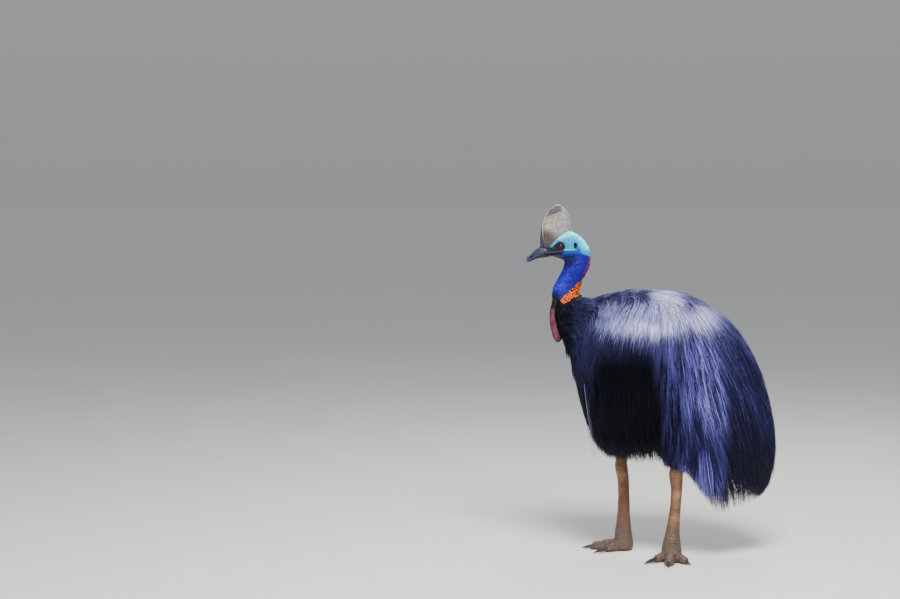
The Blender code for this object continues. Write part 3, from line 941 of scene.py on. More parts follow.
def paint_bill(places, look):
    """The bill's markings: slate horn, a painted lilac highlight along the upper ridge, pale at the tip, and
    a painted pale highlight along the lower edge.
    """
    x = places[:, 0]
    flat = places[:, [0, 2]]
    colours = plain(look.bill, len(places))
    ridge = hill(off_line(flat, CULMEN) - 0.0015, 0.0048)
    tints(colours, [
        # A painted lilac highlight along the upper ridge.
        (look.bill_ridge_highlight_and_gape, 0.85 * ridge * (0.8 + 0.2 * ripple(places, 0.008, 42))),
        (look.bill_ridge_highlight_and_gape, 0.75 * hill(off_line(flat - (0, 0.0022), CUTTING_EDGE), 0.0018)),
        ("#6E6E6E", ease(-0.523, -0.54, x)),
        ("#0C0E20", 0.9 * ease(-0.48, -0.455, x)),
        # A painted highlight along the lower mandible's edge.
        ("#A9A08C", 0.8 * hill(off_line(flat, LOWER_STRIP), 0.0022)),
        # Near black in the nostril's slit: painted shade in the recess.
        ("#06060A", ease(0.003, 0.0012, off_line(flat, NOSTRIL))),
    ])
    return np.clip(colours * (1 + 0.15 * ripple(places, 0.004, 43, (6, 1, 1))[:, None]), 0, 1)


# ---------------------------------------------------------------- coat
# The width of one feather's or scale's own square in the OFBake map, and the margin round the map.
PATCH, MARGIN = 0.003, 0.004
# How far back the feathers lean for each metre they fall, over the X where they start and where they are.
LANE_LEAN = ([0.0, 0.12, 0.24, 0.34, 0.44], [0.0, 0.12, 0.26, 0.36, 0.38])
LEAN = (
    [-0.34, -0.26, -0.14, 0.0, 0.14, 0.26, 0.36, 0.46, 0.54],
    [0.05, -0.16, -0.22, -0.08, 0.16, 0.32, 0.42, 0.4, 0.1],
)
BACK_HEIGHT = 0.95


def flow_lane(flat):
    """Where the line that feathers follow through each flat place starts from at the height of the back."""
    x, z = flat.T
    start = x.copy()
    for _ in range(4):
        start = x - np.interp(start, *LANE_LEAN) * np.maximum(BACK_HEIGHT - z, 0)
    return start


def lie(places, normals, side):
    """The way feathers lie at each place of the coat."""
    x, y, z = places.T
    top = ease(0.72, 0.99, normals[:, 2])
    lean = np.interp(x, *LEAN)
    lean = np.where(x < 0.0, lean * ease(0.7, 0.95, z), lean)
    off_ridge = ease(0.0, 0.05, np.abs(y))
    way = np.column_stack([lean + 0.75 * top, side * 0.42 * top * off_ridge, -(1 - 0.7 * top)])
    down, _, along = neck_place(places)
    along[:, 0] += 1.3 * ease(-0.35, -0.29, x) * ease(1.03, 1.07, z)
    neck = (ease(0.93, 0.7, down) * ease(-0.2, -0.26, x))[:, None]
    way = way * (1 - neck) + along * neck
    way -= normals * (way * normals).sum(1)[:, None]
    return unit(way)


def grow(cover, roots, lengths, side, rings, steps=12):
    """Paths that rise from the roots and run over the cover, and the cover's normals on them."""
    path = np.zeros((len(roots), steps, 3))
    facing = np.zeros_like(path)
    place, normal = nearest(cover, roots)
    hung = place - roots
    way = lie(place, normal, side)
    for step in range(steps):
        path[:, step] = place
        facing[:, step] = normal
        ahead = place + way * (lengths / (steps - 1))[:, None]
        found, found_normal = nearest(cover, ahead)
        free = (found_normal[:, 2] < -0.55)[:, None]
        falling = unit(way * 0.7 + np.array([0.0, 0.0, -0.3]))
        place = np.where(free, ahead, found)
        normal = np.where(free, normal, found_normal)
        way = np.where(free, falling, lie(place, normal, side))
    path -= hung[:, None] * (1 - np.linspace(0, 1, steps) ** 0.6)[None, :, None] ** 1.5
    for _ in range(3):
        path[:, 1:-1] = 0.5 * path[:, 1:-1] + 0.25 * (path[:, :-2] + path[:, 2:])
    at = np.linspace(0, steps - 1, rings)
    low = np.minimum(at.astype(int), steps - 2)
    part = (at - low)[None, :, None]
    path, facing = (rows[:, low] * (1 - part) + rows[:, low + 1] * part for rows in (path, facing))
    return path, unit(facing)


def hang(roots, lengths, rings, rng):
    """Paths that fall almost straight from under the body."""
    t = np.linspace(0, 1, rings)[None, :, None]
    back, aside = rng.normal(0.1, 0.08, len(roots)), rng.normal(0, 0.06, len(roots))
    way = unit(np.column_stack([back, aside, -np.ones(len(roots))]))
    path = roots[:, None] + way[:, None] * lengths[:, None, None] * t
    facing = np.zeros_like(path)
    facing[..., 1] = np.where(roots[:, 1] < 0, -1.0, 1.0)[:, None]
    return path, facing


def to_hem(path, spare):
    """Shortens each path where it crosses the coat's lower edge, plus its spare length."""
    edge = np.array(HEM_LINE)
    limit = np.interp(path[..., 0], edge[:, 0], edge[:, 1]) - spare[:, None]
    rings = path.shape[1]
    result = path.copy()
    over = path[..., 2] < limit
    for index in np.nonzero(over.any(1))[0]:
        first = max(1, int(np.argmax(over[index])))
        above = path[index, first - 1, 2] - limit[index, first - 1]
        below = limit[index, first] - path[index, first, 2]
        end = first - 1 + np.clip(above / max(above + below, 1e-6), 0, 1)
        at = np.linspace(0, max(end, 0.6), rings)
        result[index] = along_line(at, np.arange(rings), path[index])
    return result


def gather(path, clump, amount):
    """Draws the strands of each clump together towards their tips."""
    order = np.argsort(clump, kind="stable")
    starts = np.unique(clump[order], return_index=True)[1]
    t = np.linspace(0, 1, path.shape[1])[None, :, None] ** 1.6
    for group in np.split(order, starts[1:]):
        guide = path[group[len(group) // 2]]
        path[group] += (guide[None] - path[group]) * t * amount[group][:, None, None]
    return path


def wave(path, facing, clump, height, length, rng):
    """Waves the strands sideways, those of one clump together, more towards their tips."""
    along = unit(np.gradient(path, axis=1))
    across = unit(np.cross(along, facing))
    run = np.linalg.norm(np.diff(path, axis=1), axis=2).sum(1)
    t = np.linspace(0, 1, path.shape[1])[None]
    shared = np.random.default_rng(5).uniform(0, 6.28, clump.max() + 1)[clump]
    phase = shared + rng.normal(0, 0.5, len(path))
    swing = np.sin(phase[:, None] + 6.28 * t * run[:, None] / length) - np.sin(phase)[:, None]
    lift = np.sin(phase[:, None] * 1.7 + 5.0 * t * run[:, None] / length) - np.sin(phase * 1.7)[:, None]
    aside = (height[:, None] * t * swing)[..., None] * across
    return path + aside + (0.5 * height[:, None] * t * lift)[..., None] * facing


def joined(name, places, shades, faces, patch, roots_at):
    """One mesh of many like solids, with each one's corner places and colours.

    patch gives each face corner's place in a unit square. The square, small, stands in the OFBake map at the
    root's place on an unwrap of the skin, which is roots_at."""
    count, corners = places.shape[:2]
    order = np.concatenate(faces)
    starts = np.cumsum([0] + [len(face) for face in faces[:-1]])
    turns = np.arange(count)[:, None]
    mesh = bpy.data.meshes.new(name)
    mesh.vertices.add(count * corners)
    mesh.vertices.foreach_set("co", places.ravel().astype(np.float32))
    mesh.loops.add(count * len(order))
    mesh.loops.foreach_set("vertex_index", (turns * corners + order).ravel().astype(np.int32))
    mesh.polygons.add(count * len(faces))
    mesh.polygons.foreach_set("loop_start", (turns * len(order) + starts).ravel().astype(np.int32))
    low, high = roots_at.min(0), roots_at.max(0)
    corner = MARGIN + (roots_at - low) / np.maximum(high - low, 1e-6) * (1 - 2 * MARGIN - PATCH)
    layer = mesh.uv_layers.new(name="OFBake")
    layer.data.foreach_set("uv", (corner[:, None] + patch[None] * PATCH).ravel().astype(np.float32))
    mark(mesh, shades.reshape(-1, 3))
    mesh.update(calc_edges=True)
    mesh.validate()
    return mesh


def strands(name, path, facing, width, thick, colours, roots_at, taper=0.16):
    """Solid three-sided feathers that taper along their paths, with a colour for each ring."""
    rings = path.shape[1]
    t = np.linspace(0, 1, rings)
    body = np.interp(t, [0, 0.25, 0.6, 1.0], [0.75, 1.0, 0.85, taper])
    along = unit(np.gradient(path, axis=1))
    across = unit(np.cross(along, facing))
    out = np.cross(across, along)
    half = (width[:, None] * body / 2)[..., None]
    ridge = (thick[:, None] * body)[..., None]
    corners = np.stack([path + across * half, path - across * half, path + out * ridge], axis=2)
    faces, patch = [], []
    for ring in range(rings - 1):
        for side in range(3):
            other = (side + 1) % 3
            faces.append([3 * ring + side, 3 * ring + other, 3 * ring + 3 + other, 3 * ring + 3 + side])
            low, high = ring / (rings - 1), (ring + 1) / (rings - 1)
            patch += [(side / 3, low), ((side + 1) / 3, low), ((side + 1) / 3, high), (side / 3, high)]
    last = 3 * (rings - 1)
    faces += [[2, 1, 0], [last, last + 1, last + 2]]
    patch += [(1, 0), (0.5, 0.2), (0, 0), (0, 1), (0.5, 0.8), (1, 1)]
    corners = corners.reshape(len(path), -1, 3)
    return joined(name, corners, np.repeat(colours, 3, axis=1), faces, np.array(patch), roots_at)


# The middle line of the painted silver highlight band across the back, as X and Z.
HIGHLIGHT_BAND = [
    (-0.24, 0.99), (-0.19, 0.985), (-0.09, 0.985), (0.0, 0.978), (0.07, 0.99), (0.14, 1.018),
    (0.22, 1.03), (0.29, 1.01),
]
# The ovals of painted highlight, and the ovals where that painted highlight is weaker: strength, X, Z, half
# width and half height.
HIGHLIGHT_OVALS = [
    (1.0, 0.052, 1.085, 0.085, 0.055), (0.95, 0.205, 1.01, 0.1, 0.05),
    (0.8, 0.06, 1.03, 0.09, 0.045), (0.4, -0.16, 1.04, 0.08, 0.05),
    (0.65, -0.05, 1.048, 0.085, 0.036),
]
HIGHLIGHT_GAPS = [
    (0.4, 0.015, 1.018, 0.05, 0.012), (0.75, 0.165, 1.075, 0.036, 0.03),
    (0.5, -0.09, 1.098, 0.085, 0.034),
]
# Where the dark outer part of the rump begins, as Z and the lane there.
OUTER_EDGE = ([0.45, 0.6, 0.8], [0.185, 0.198, 0.224])


def oval(flat, x, z, wide, tall):
    """1 in the middle of an oval spot, falling to 0 at its edge."""
    return ease(1.15, 0.55, np.hypot((flat[:, 0] - x) / wide, (flat[:, 1] - z) / tall))


def painted_highlight_share(flat, tone, own, streak):
    """How far each place of the coat carries the painted silver highlight, from 0 to 1."""
    x, z = flat.T
    silver_highlight = ease(0.047, 0.014, off_line(flat, HIGHLIGHT_BAND)) * ease(-0.28, -0.105, x)
    for strength, *place in HIGHLIGHT_OVALS:
        silver_highlight = np.maximum(silver_highlight, strength * oval(flat, *place))
    for strength, *place in HIGHLIGHT_GAPS:
        silver_highlight *= 1 - strength * oval(flat, *place)
    silver_highlight *= np.clip(0.9 + 0.14 * tone + 0.24 * streak, 0, 1)
    strays = 0.3 * ease(-0.3, -0.22, x) * ease(0.905, 0.955, z) * ease(0.9, 1.6, own + streak)
    return np.maximum(silver_highlight, strays) * ease(0.33, 0.2, x)


def paint_coat(path, clump, look, rng):
    """The colours along each feather, from where it lies on the bird.

    The neck is black, the shoulder indigo and the flank black. The back carries a painted silver highlight in
    a band and in patches, and the rump a painted lavender sheen in locks with dark gaps between them."""
    count, rings = path.shape[:2]
    own, tone, sway = rng.normal(0, 1, (3, count))
    lock = np.random.default_rng(7).normal(0, 1, clump.max() + 1)[clump]
    jitter = np.column_stack([0.005 * own, 0.012 * sway])
    flat = path.reshape(-1, 3)[:, [0, 2]] + np.repeat(jitter, rings, axis=0)
    x, z = flat.T
    own, tone, lock = (np.repeat(values, rings) for values in (own, tone, lock))
    lane = flow_lane(flat)
    lanes = np.column_stack([lane, np.where(path.reshape(-1, 3)[:, 1] < 0, 0.0, 3.0), 0.12 * z])
    streak = 0.75 * ripple(lanes, 0.0075, 44) + 0.55 * ripple(lanes, 0.021, 45)
    colours = plain(look.body, len(flat))

    # The shoulder and the upper flank, with a painted grey lavender sheen on the top of the back and a
    # painted lavender sheen on the haunch.
    shoulder = ease(-0.345, -0.3, x) * ease(0.82, 0.94, z)
    shoulder = shoulder + 0.8 * ease(-0.22, -0.28, x) * ease(0.62, 0.85, z)
    shoulder = np.clip(shoulder, 0, 1) * ease(-0.355, -0.325, x)
    saddle = ease(1.0, 1.05, z) * ease(-0.25, -0.17, x)
    haunch = ease(-0.09, 0.07, x + 2.2 * (z - 0.88)) * ease(1.0, 0.97, z)
    tints(colours, [
        (look.indigo, shoulder * np.clip(0.66 + 0.16 * tone + 0.26 * streak, 0, 1)),
        (look.back, saddle * np.clip(0.65 + 0.25 * tone, 0, 1)),
        ("#46467A", haunch * np.clip(0.75 + 0.3 * streak, 0, 1)),
    ])

    # The rump: locks with painted lavender sheen and painted highlights on a dark ground, and a dark outer
    # part behind them.
    rump = ease(-0.02, 0.1, lane - 0.026 * ease(0.85, 0.65, z) + 0.026 * streak) * ease(0.985, 0.9, z)
    outer = ease(0.0, 0.035, lane - np.interp(z, *OUTER_EDGE))
    locks = 0.85 * streak + 0.32 * lock + 0.22 * own + 0.35 * hill(lane - 0.165, 0.035)
    bright = ease(-0.22, 0.3, locks) * ease(0.97, 0.88, z) * rump * (1 - outer)
    bright *= 0.7 + 0.3 * ease(0.45, 0.65, z)
    core = hill(lane - 0.182, 0.072) * ease(0.5, 0.62, z) + 0.55 * ease(0.46, 0.38, z)
    tints(colours, [
        ("#1F1C40", rump * ease(0.95, 0.8, z)),
        (look.lock, bright),
        (look.lock_highlight, bright * np.clip(core, 0, 1) * ease(-0.3, 1.0, own + 0.9 * streak)),
        ("#3B3B6A", outer * ease(0.7, 0.86, z) * np.clip(0.8 + 0.3 * streak, 0, 1)),
        ("#161628", outer * ease(0.72, 0.58, z) * 0.9),
        ("#1C1C3C", ease(0.27, 0.33, lane) * ease(0.97, 0.88, z) * 0.8),
        (look.lock, outer * 0.5 * ease(0.9, 1.6, own + 0.8 * streak) * ease(0.42, 0.6, z)),
    ])

    # The painted silver highlight across the back, edged with painted lavender.
    silver_highlight = painted_highlight_share(flat, tone, own, streak)
    tint(colours, "#6E6EBE", np.clip(1.7 * silver_highlight, 0, 1))
    tint(colours, look.silver_highlight, silver_highlight**1.4)
    shade = np.exp(0.18 * tone + 0.1 * own)
    return np.clip(colours * shade[:, None], 0, 1).reshape(count, rings, 3)


def coat_cover():
    """The coat's outer surface, over which the feathers lie."""
    return tree_of(shell(forms(["neck_lower"] + TRUNK + THIGHS + WINGS), 0.008, 6))


def cells(along, around, start, end, low, high, rng, clump_size):
    """One place in each cell of a grid, and the number of its clump of neighbours."""
    i, j = np.meshgrid(np.arange(along), np.arange(around), indexing="ij")
    i, j = i.ravel(), j.ravel()
    u = start + (end - start) * (i + rng.uniform(0.1, 0.9, len(i))) / along
    v = low + (high - low) * (j + rng.uniform(0.1, 0.9, len(i))) / around
    return u, v, (i // clump_size[0]) * 1000 + j // clump_size[1]


def in_order(clump):
    """The clumps' numbers, from 0 with none left out."""
    return np.unique(clump, return_inverse=True)[1]


# The X of the trunk's middle line, over the share of the way from the breast to the rump.
MIDDLE_X = ([0, 0.2, 0.8, 1.0], [-0.22, -0.16, 0.2, 0.25])


def body_rays(u, v):
    """Rays from the trunk's middle line: u runs from the breast to the rump, v once round from the belly."""
    turn = math.pi * u
    angle = 2 * math.pi * v
    origins = np.column_stack([np.interp(u, *MIDDLE_X), 0 * u, 0.8 + 0.06 * np.sin(turn)])
    ways = np.column_stack([-np.cos(turn), -np.sin(turn) * np.sin(angle), -np.sin(turn) * np.cos(angle)])
    return origins, ways


# The long feathers' length over X, and its share over Z.
PLUME_LENGTH = ([-0.3, -0.2, 0.0, 0.15, 0.26, 0.4], [0.085, 0.13, 0.18, 0.34, 0.5, 0.54])
PLUME_SHARE = ([0.5, 0.8, 1.0, 1.1], [1.3, 1.2, 1.0, 0.85])
# How far their clumps draw together, how high they wave and how broad they are, over X.
PLUME_GATHER = ([-0.2, 0.1, 0.25], [0.45, 0.6, 0.72])
PLUME_WAVE = ([-0.2, 0.1, 0.3], [0.0022, 0.004, 0.0095])
PLUME_BREADTH = ([-0.25, 0.2], [0.8, 1.1])
WAVE_LENGTH = 0.13


def plumes(name, skin, cover, look, span, sector, grid, rings, seed):
    """The long feathers of one part of the trunk."""
    rng = np.random.default_rng(seed)
    u, v, clump = cells(*grid, *span, *sector, rng, (4, 3))
    origins, ways = body_rays(u, v)
    roots, normals, hit = struck(skin, origins, ways)
    down, _, _ = neck_place(roots)
    kept = hit & ((down > 0.82) | (roots[:, 0] > -0.2)) & (roots[:, 2] > 0.47)
    kept &= rng.uniform(0, 1, len(u)) < np.clip(1.7 * np.sin(math.pi * u), 0.2, 1)
    u, v, clump, roots, normals = (rows[kept] for rows in (u, v, clump, roots, normals))
    x, y, z = roots.T
    side = np.where(np.abs(y) > 0.012, np.sign(y), rng.choice([-1.0, 1.0], len(y)))
    length = np.interp(x, *PLUME_LENGTH)
    length *= np.interp(z, *PLUME_SHARE) * rng.uniform(0.75, 1.2, len(x)) * look.length
    under = normals[:, 2] < np.where(z < 0.62, -0.3, -0.55)
    roots = roots - normals * 0.002
    over, _ = nearest(cover, roots)
    room = np.linalg.norm(over - roots, axis=1)
    path, facing = grow(cover, roots, length, side, rings)
    fall = np.where(x > 0.12, 0.45, 0.14) * rng.uniform(0.7, 1.1, len(x))
    falling, fall_facing = hang(roots, fall, rings, rng)
    path = np.where(under[:, None, None], falling, path)
    facing = np.where(under[:, None, None], fall_facing, facing)
    clump = in_order(clump)
    layer = rng.uniform(0, 0.008, len(x)) + 0.5 * rng.uniform(0, 0.008, clump.max() + 1)[clump]
    path -= facing * np.minimum(layer, 0.5 * room)[:, None, None]
    path = gather(path, clump, np.interp(x, *PLUME_GATHER) * rng.uniform(0.55, 1.1, len(x)))
    path = wave(path, facing, clump, np.interp(x, *PLUME_WAVE) * look.wave, WAVE_LENGTH, rng)
    path = to_hem(path, rng.uniform(-0.02, 0.01, len(x)))
    breadth = np.interp(x, *PLUME_BREADTH)
    return finish_feathers(name, path, facing, clump, breadth, look, np.column_stack([u, v]), rng)


def finish_feathers(name, path, facing, clump, breadth, look, roots_at, rng, least=0.7, most=1.3):
    """Colours the feathers, rolls each a little about its length and makes the mesh."""
    colours = paint_coat(path, clump, look, rng)
    width = look.width * breadth * rng.uniform(least, most, len(path))
    thick = look.thickness / look.width * width * rng.uniform(0.8, 1.2, len(path))
    across = unit(np.cross(np.gradient(path, axis=1), facing))
    facing = unit(facing + across * rng.normal(0, 0.35, len(path))[:, None, None])
    return strands(name, path, facing, width, thick, colours, roots_at)


def wrap(tree, line, front, along, turn, reach):
    """The surface round a limb within reach, met by rays from its middle line, turned from its front."""
    share = np.linspace(0, 1, len(line))
    ways = unit(np.gradient(line, axis=0))
    start = along_line(along, share, line)
    way = unit(along_line(along, share, ways))
    ahead = unit(np.array(front) - way * (way @ np.array(front))[:, None])
    ray = ahead * np.cos(turn)[:, None] + np.cross(way, ahead) * np.sin(turn)[:, None]
    places, normals, hit = struck(tree, start, ray)
    return places, normals, hit & (np.linalg.norm(places - start, axis=1) < reach), ray


AHEAD = (-1.0, 0.0, 0.0)
ROOT_DEPTH = 0.0015
# The neck's feathers' length and breadth over the way down it, and the thighs' feathers' length over Z.
NECK_LENGTH = ([0.45, 0.55, 0.7, 0.9], [0.018, 0.028, 0.048, 0.085])
NECK_BREADTH = ([0.45, 0.9], [0.55, 0.85])
THIGH_LENGTH = ([0.39, 0.45, 0.6], [0.026, 0.06, 0.08])


def neck_feathers(name, skin, cover, look, sign, seed):
    """The short close feathers from the bare skin's edge down to the breast, on one side."""
    rng = np.random.default_rng(seed)
    u, v, clump = cells(90, 46, 0.37, 0.97, 0.0, 1.0, rng, (3, 2))
    roots, normals, hit, _ = wrap(skin, NECK_MIDDLE, AHEAD, u, sign * math.pi * v, 0.26)
    x, _, z = roots.T
    kept = hit & (in_wattle(roots) < 0.3) & (z < bare_edge(x) + rng.uniform(-0.003, 0.003, len(x)))
    u, v, clump, roots, normals = (rows[kept] for rows in (u, v, clump, roots, normals))
    length = np.interp(u, *NECK_LENGTH) * rng.uniform(0.75, 1.2, len(u))
    path, facing = grow(cover, roots - normals * ROOT_DEPTH, length, np.full(len(u), sign), 6)
    path -= facing * rng.uniform(0, 0.003, len(u))[:, None, None]
    clump = in_order(clump)
    path = gather(path, clump, np.full(len(u), 0.35))
    breadth = np.interp(u, *NECK_BREADTH)
    return finish_feathers(name, path, facing, clump, breadth, look, np.column_stack([u, v]), rng)


def thigh_feathers(name, skin, cover, look, side, seed):
    """The short feathers of one leg, down to the bare shank."""
    rng = np.random.default_rng(seed)
    line = limb_line("thigh_" + side)
    u, v, clump = cells(44, 40, 0.3, 1.0, -1.0, 1.0, rng, (3, 2))
    roots, normals, hit, _ = wrap(skin, line, AHEAD, u, math.pi * v, 0.15)
    kept = hit & (roots[:, 2] < 0.6) & (roots[:, 2] > 0.396)
    u, v, clump, roots, normals = (rows[kept] for rows in (u, v, clump, roots, normals))
    length = np.interp(roots[:, 2], *THIGH_LENGTH) * rng.uniform(0.8, 1.2, len(u))
    over, _ = nearest(cover, roots)
    room = np.linalg.norm(over - roots, axis=1)
    path, facing = grow(cover, roots - normals * ROOT_DEPTH, length, np.sign(roots[:, 1]), 6)
    path -= facing * (rng.uniform(0, 0.85, len(u)) * room)[:, None, None]
    path = to_hem(path, rng.uniform(-0.015, 0.034, len(u)))
    clump = in_order(clump)
    path = gather(path, clump, np.full(len(u), 0.4))
    return finish_feathers(name, path, facing, clump, 1.0, look, np.column_stack([u, v]), rng, 0.6, 1.0)


# How many bristles there are, and the shares of them round the ears and on the lores.
BRISTLES, EAR_SHARE, LORE_SHARE = 620, 0.5, 0.3


def bristles(name, skin, look, seed):
    """Sparse dark bristles round the ears, on the lores and down the throat."""
    rng = np.random.default_rng(seed)
    angle = rng.uniform(0, 2 * math.pi, BRISTLES)
    ring = rng.uniform(0.7, 1.5, BRISTLES)
    wide, tall = EAR_OPENING
    none = np.zeros(BRISTLES)
    ear = np.column_stack([EAR_X + wide * ring * np.cos(angle), none, EAR_Z + tall * ring * np.sin(angle)])
    spread = rng.uniform(0, 1, BRISTLES)
    along = np.interp(spread, [0, 1], [-0.452, -0.412])
    lore = np.column_stack([along, none, 1.298 + rng.uniform(-0.006, 0.016, BRISTLES)])
    throat = np.column_stack([-0.4 + 0.075 * spread, none, 1.278 - 0.05 * rng.uniform(0, 1, BRISTLES)])
    pick = rng.uniform(0, 1, BRISTLES)[:, None]
    at = np.where(pick < EAR_SHARE, ear, np.where(pick < EAR_SHARE + LORE_SHARE, lore, throat))
    sign = rng.choice([-1.0, 1.0], BRISTLES)
    inward = np.column_stack([none, -sign, none])
    roots, normals, hit = struck(skin, at - 0.12 * inward, inward)
    roots, normals, at, pick = roots[hit], normals[hit], at[hit], pick[hit]
    length = np.where(pick[:, 0] < EAR_SHARE, 0.0065, 0.0042) * rng.uniform(0.6, 1.3, len(roots))
    way = unit(normals * 0.35 + np.array([0.75, 0, -0.35]) + rng.normal(0, 0.18, roots.shape))
    t = np.linspace(0, 1, 4)
    path = roots[:, None] - normals[:, None] * 0.0004 + way[:, None] * (length[:, None] * t)[..., None]
    path[..., 2] -= 0.12 * length[:, None] * t**2
    facing = np.repeat(normals[:, None], 4, axis=1)
    colours = np.tile(np.array(look.body), (len(roots), 4, 1))
    width = rng.uniform(0.0003, 0.00045, len(roots))
    return strands(name, path, facing, width, width * 0.8, colours, at[:, [0, 2]])


def shafts(lines, radii):
    """One mesh of round tapering shafts along lines of points."""
    curve = bpy.data.curves.new("shafts", "CURVE")
    curve.dimensions = "3D"
    curve.bevel_depth = 1.0
    curve.bevel_resolution = 2
    curve.use_fill_caps = True
    for line, radius in zip(lines, radii):
        spline = curve.splines.new("POLY")
        spline.points.add(len(line) - 1)
        spline.points.foreach_set("co", np.column_stack([line, np.ones(len(line))]).ravel())
        spline.points.foreach_set("radius", radius)
    work = bpy.data.objects.new("shafts", curve)
    mesh = bpy.data.meshes.new_from_object(work)
    bpy.data.objects.remove(work)
    bpy.data.curves.remove(curve)
    return mesh


# Each wing quill's length and its paleness, the longest first, and its radius' share along it. The longest
# quill's paleness is a painted highlight streak.
QUILL_LENGTHS, QUILL_TONES = (0.35, 0.25, 0.205), (1.0, 0.14, 0.1)
QUILL_TAPER = ([0, 0.15, 0.7, 1.0], [0.75, 1.0, 0.75, 0.22])


def wing_quills(cover, sign, look):
    """The bare quills that hang from one small wing down the front of the flank."""
    lines, radii = [], []
    t = np.linspace(0, 1, 26)
    inward = np.tile((0.0, -sign, 0.0), (len(t), 1))
    for index, length in enumerate(QUILL_LENGTHS):
        x = -0.292 + 0.007 * index + (0.062 - 0.018 * index) * t**1.3
        z = 0.745 - 0.014 * index - length * t
        places, _, hit = struck(cover, np.column_stack([x, np.full(len(t), 0.6 * sign), z]), inward)
        close = hit & (places[:, 1] * sign > 0.04)
        out = np.clip(np.interp(t, t[close], places[close, 1] * sign), 0.11 - 0.02 * t, 0.122)
        for _ in range(24):
            out[1:-1] = 0.5 * out[1:-1] + 0.25 * (out[:-2] + out[2:])
        lines.append(np.column_stack([x, sign * (out + 0.002 - 0.003 * index), z]))
        radii.append(look.quill / 2 * np.interp(t, *QUILL_TAPER))
    mesh = shafts(lines, radii)
    # The longest quill is painted pale for its highlight streak; the others stay dark.
    tone = np.repeat(QUILL_TONES, len(mesh.vertices) // len(lines))
    mark(mesh, tone[:, None] * np.array(look.quill_horn_and_highlight))
    return mesh


# ---------------------------------------------------------------- scales of the legs
def template(bm):
    """A small solid's corner places and faces, from its bmesh."""
    bmesh.ops.recalc_face_normals(bm, faces=bm.faces)
    bm.verts.index_update()
    corners = np.array([v.co for v in bm.verts])
    faces = [[v.index for v in face.verts] for face in bm.faces]
    bm.free()
    return corners, faces


def scale_map(corners, faces):
    """Each face corner's place in a unit square, seen from above the scale."""
    return (corners[:, :2] / 2 + 0.5)[np.concatenate(faces)]


def leg_unwrap(places, shank):
    """Places on one leg laid out flat: the turn round the shank, and the way down and out along the toes."""
    out = places[:, :2] - shank[-1, :2]
    way = places[:, 2] - np.maximum(0, np.hypot(*out.T) - 0.03)
    return np.column_stack([np.arctan2(out[:, 1], out[:, 0]), way])


def paint_leg(colours, places, look):
    """Adds the brown of the shanks, greyer on the feet."""
    z = places[:, 2]
    bare = ease(0.412, 0.406, z)
    worn = 0.6 * ease(0.0, 0.8, ripple(places, 0.05, 25)) * ease(0.1, 0.16, z)
    tints(colours, [(look.leg, bare), (look.leg_light, bare * worn), (look.foot, bare * ease(0.2, 0.06, z))])


def paint_scales(places, rim, look, rng):
    """The colours of each scale's corners: a random tone for each scale, paler over its top and darker at its
    edges and underside.
    """
    flat = places.reshape(-1, 3)
    colours = np.zeros((len(flat), 3))
    paint_leg(colours, flat, look)
    colours = colours.reshape(places.shape)
    tone = np.exp(0.13 * rng.normal(0, 1, len(places)))[:, None, None]
    return np.clip(colours * tone * np.where(rim, 0.66, 1.1)[None, :, None], 0, 1)


def broad_scutes(name, skin, shank, side, sizes, look, seed):
    """The broad overlapping scutes down the front of one shank and along the top of its toes."""
    rng = np.random.default_rng(seed)
    bm = bmesh.new()
    bmesh.ops.create_cube(bm, size=2.0)
    for axis, cuts in ((0, 5), (1, 1)):
        across = [e for e in bm.edges if e.verts[0].co[axis] != e.verts[1].co[axis]]
        bmesh.ops.subdivide_edges(bm, edges=across, cuts=cuts)
    corners, faces = template(bm)
    a, b, c = corners.T
    height = np.where(c > 0, sizes.thickness * (0.25 + 0.75 * (b + 1) / 2) * (1 - 0.55 * a**4), -0.0012)
    toes = middle("toe_middle_" + side) - middle("pad_" + side)
    rows = [(shank, (toes.x, toes.y, 0.0), sizes.scute, 0.95)]
    for toe in ("inner", "middle", "outer"):
        ahead = middle(f"toe_{toe}_{side}") - middle("pad_" + side)
        rows.append((limb_line(f"toe_{toe}_{side}", ahead), (0.0, 0.0, 1.0), sizes.scute * 0.82, 1.05))
    made = []
    for line, front, pitch, half_turn in rows:
        count = int(np.linalg.norm(np.diff(line, axis=0), axis=1).sum() / pitch)
        share = (np.arange(count)[:, None] + 0.5 + 0.57 * b * (1 - 0.22 * a**4) + 0.15 * a**2) / count
        turn = half_turn * a * rng.uniform(0.84, 1.1, (count, 1)) + rng.normal(0, 0.05, (count, 1))
        places, _, hit, ray = wrap(skin, line, front, np.clip(share, 0, 1).ravel(), turn.ravel(), 0.045)
        lift = np.tile(height, count)[:, None]
        places = (places + ray * lift).reshape(count, len(corners), 3)
        extent = np.linalg.norm(places.max(1) - places.min(1), axis=1)
        made.append(places[hit.reshape(count, -1).all(1) & (extent < 1.35 * np.median(extent))])
    places = np.concatenate(made)
    rim = (np.abs(a) > 0.9) | (b < -0.9) | (c < 0)
    colours = paint_scales(places, rim, look, rng)
    mesh = joined(name, places, colours, faces, scale_map(corners, faces), leg_unwrap(places.mean(1), shank))
    return mesh, places


# How many places on a leg are tried for small scales.
SCALE_TRIES = 16000


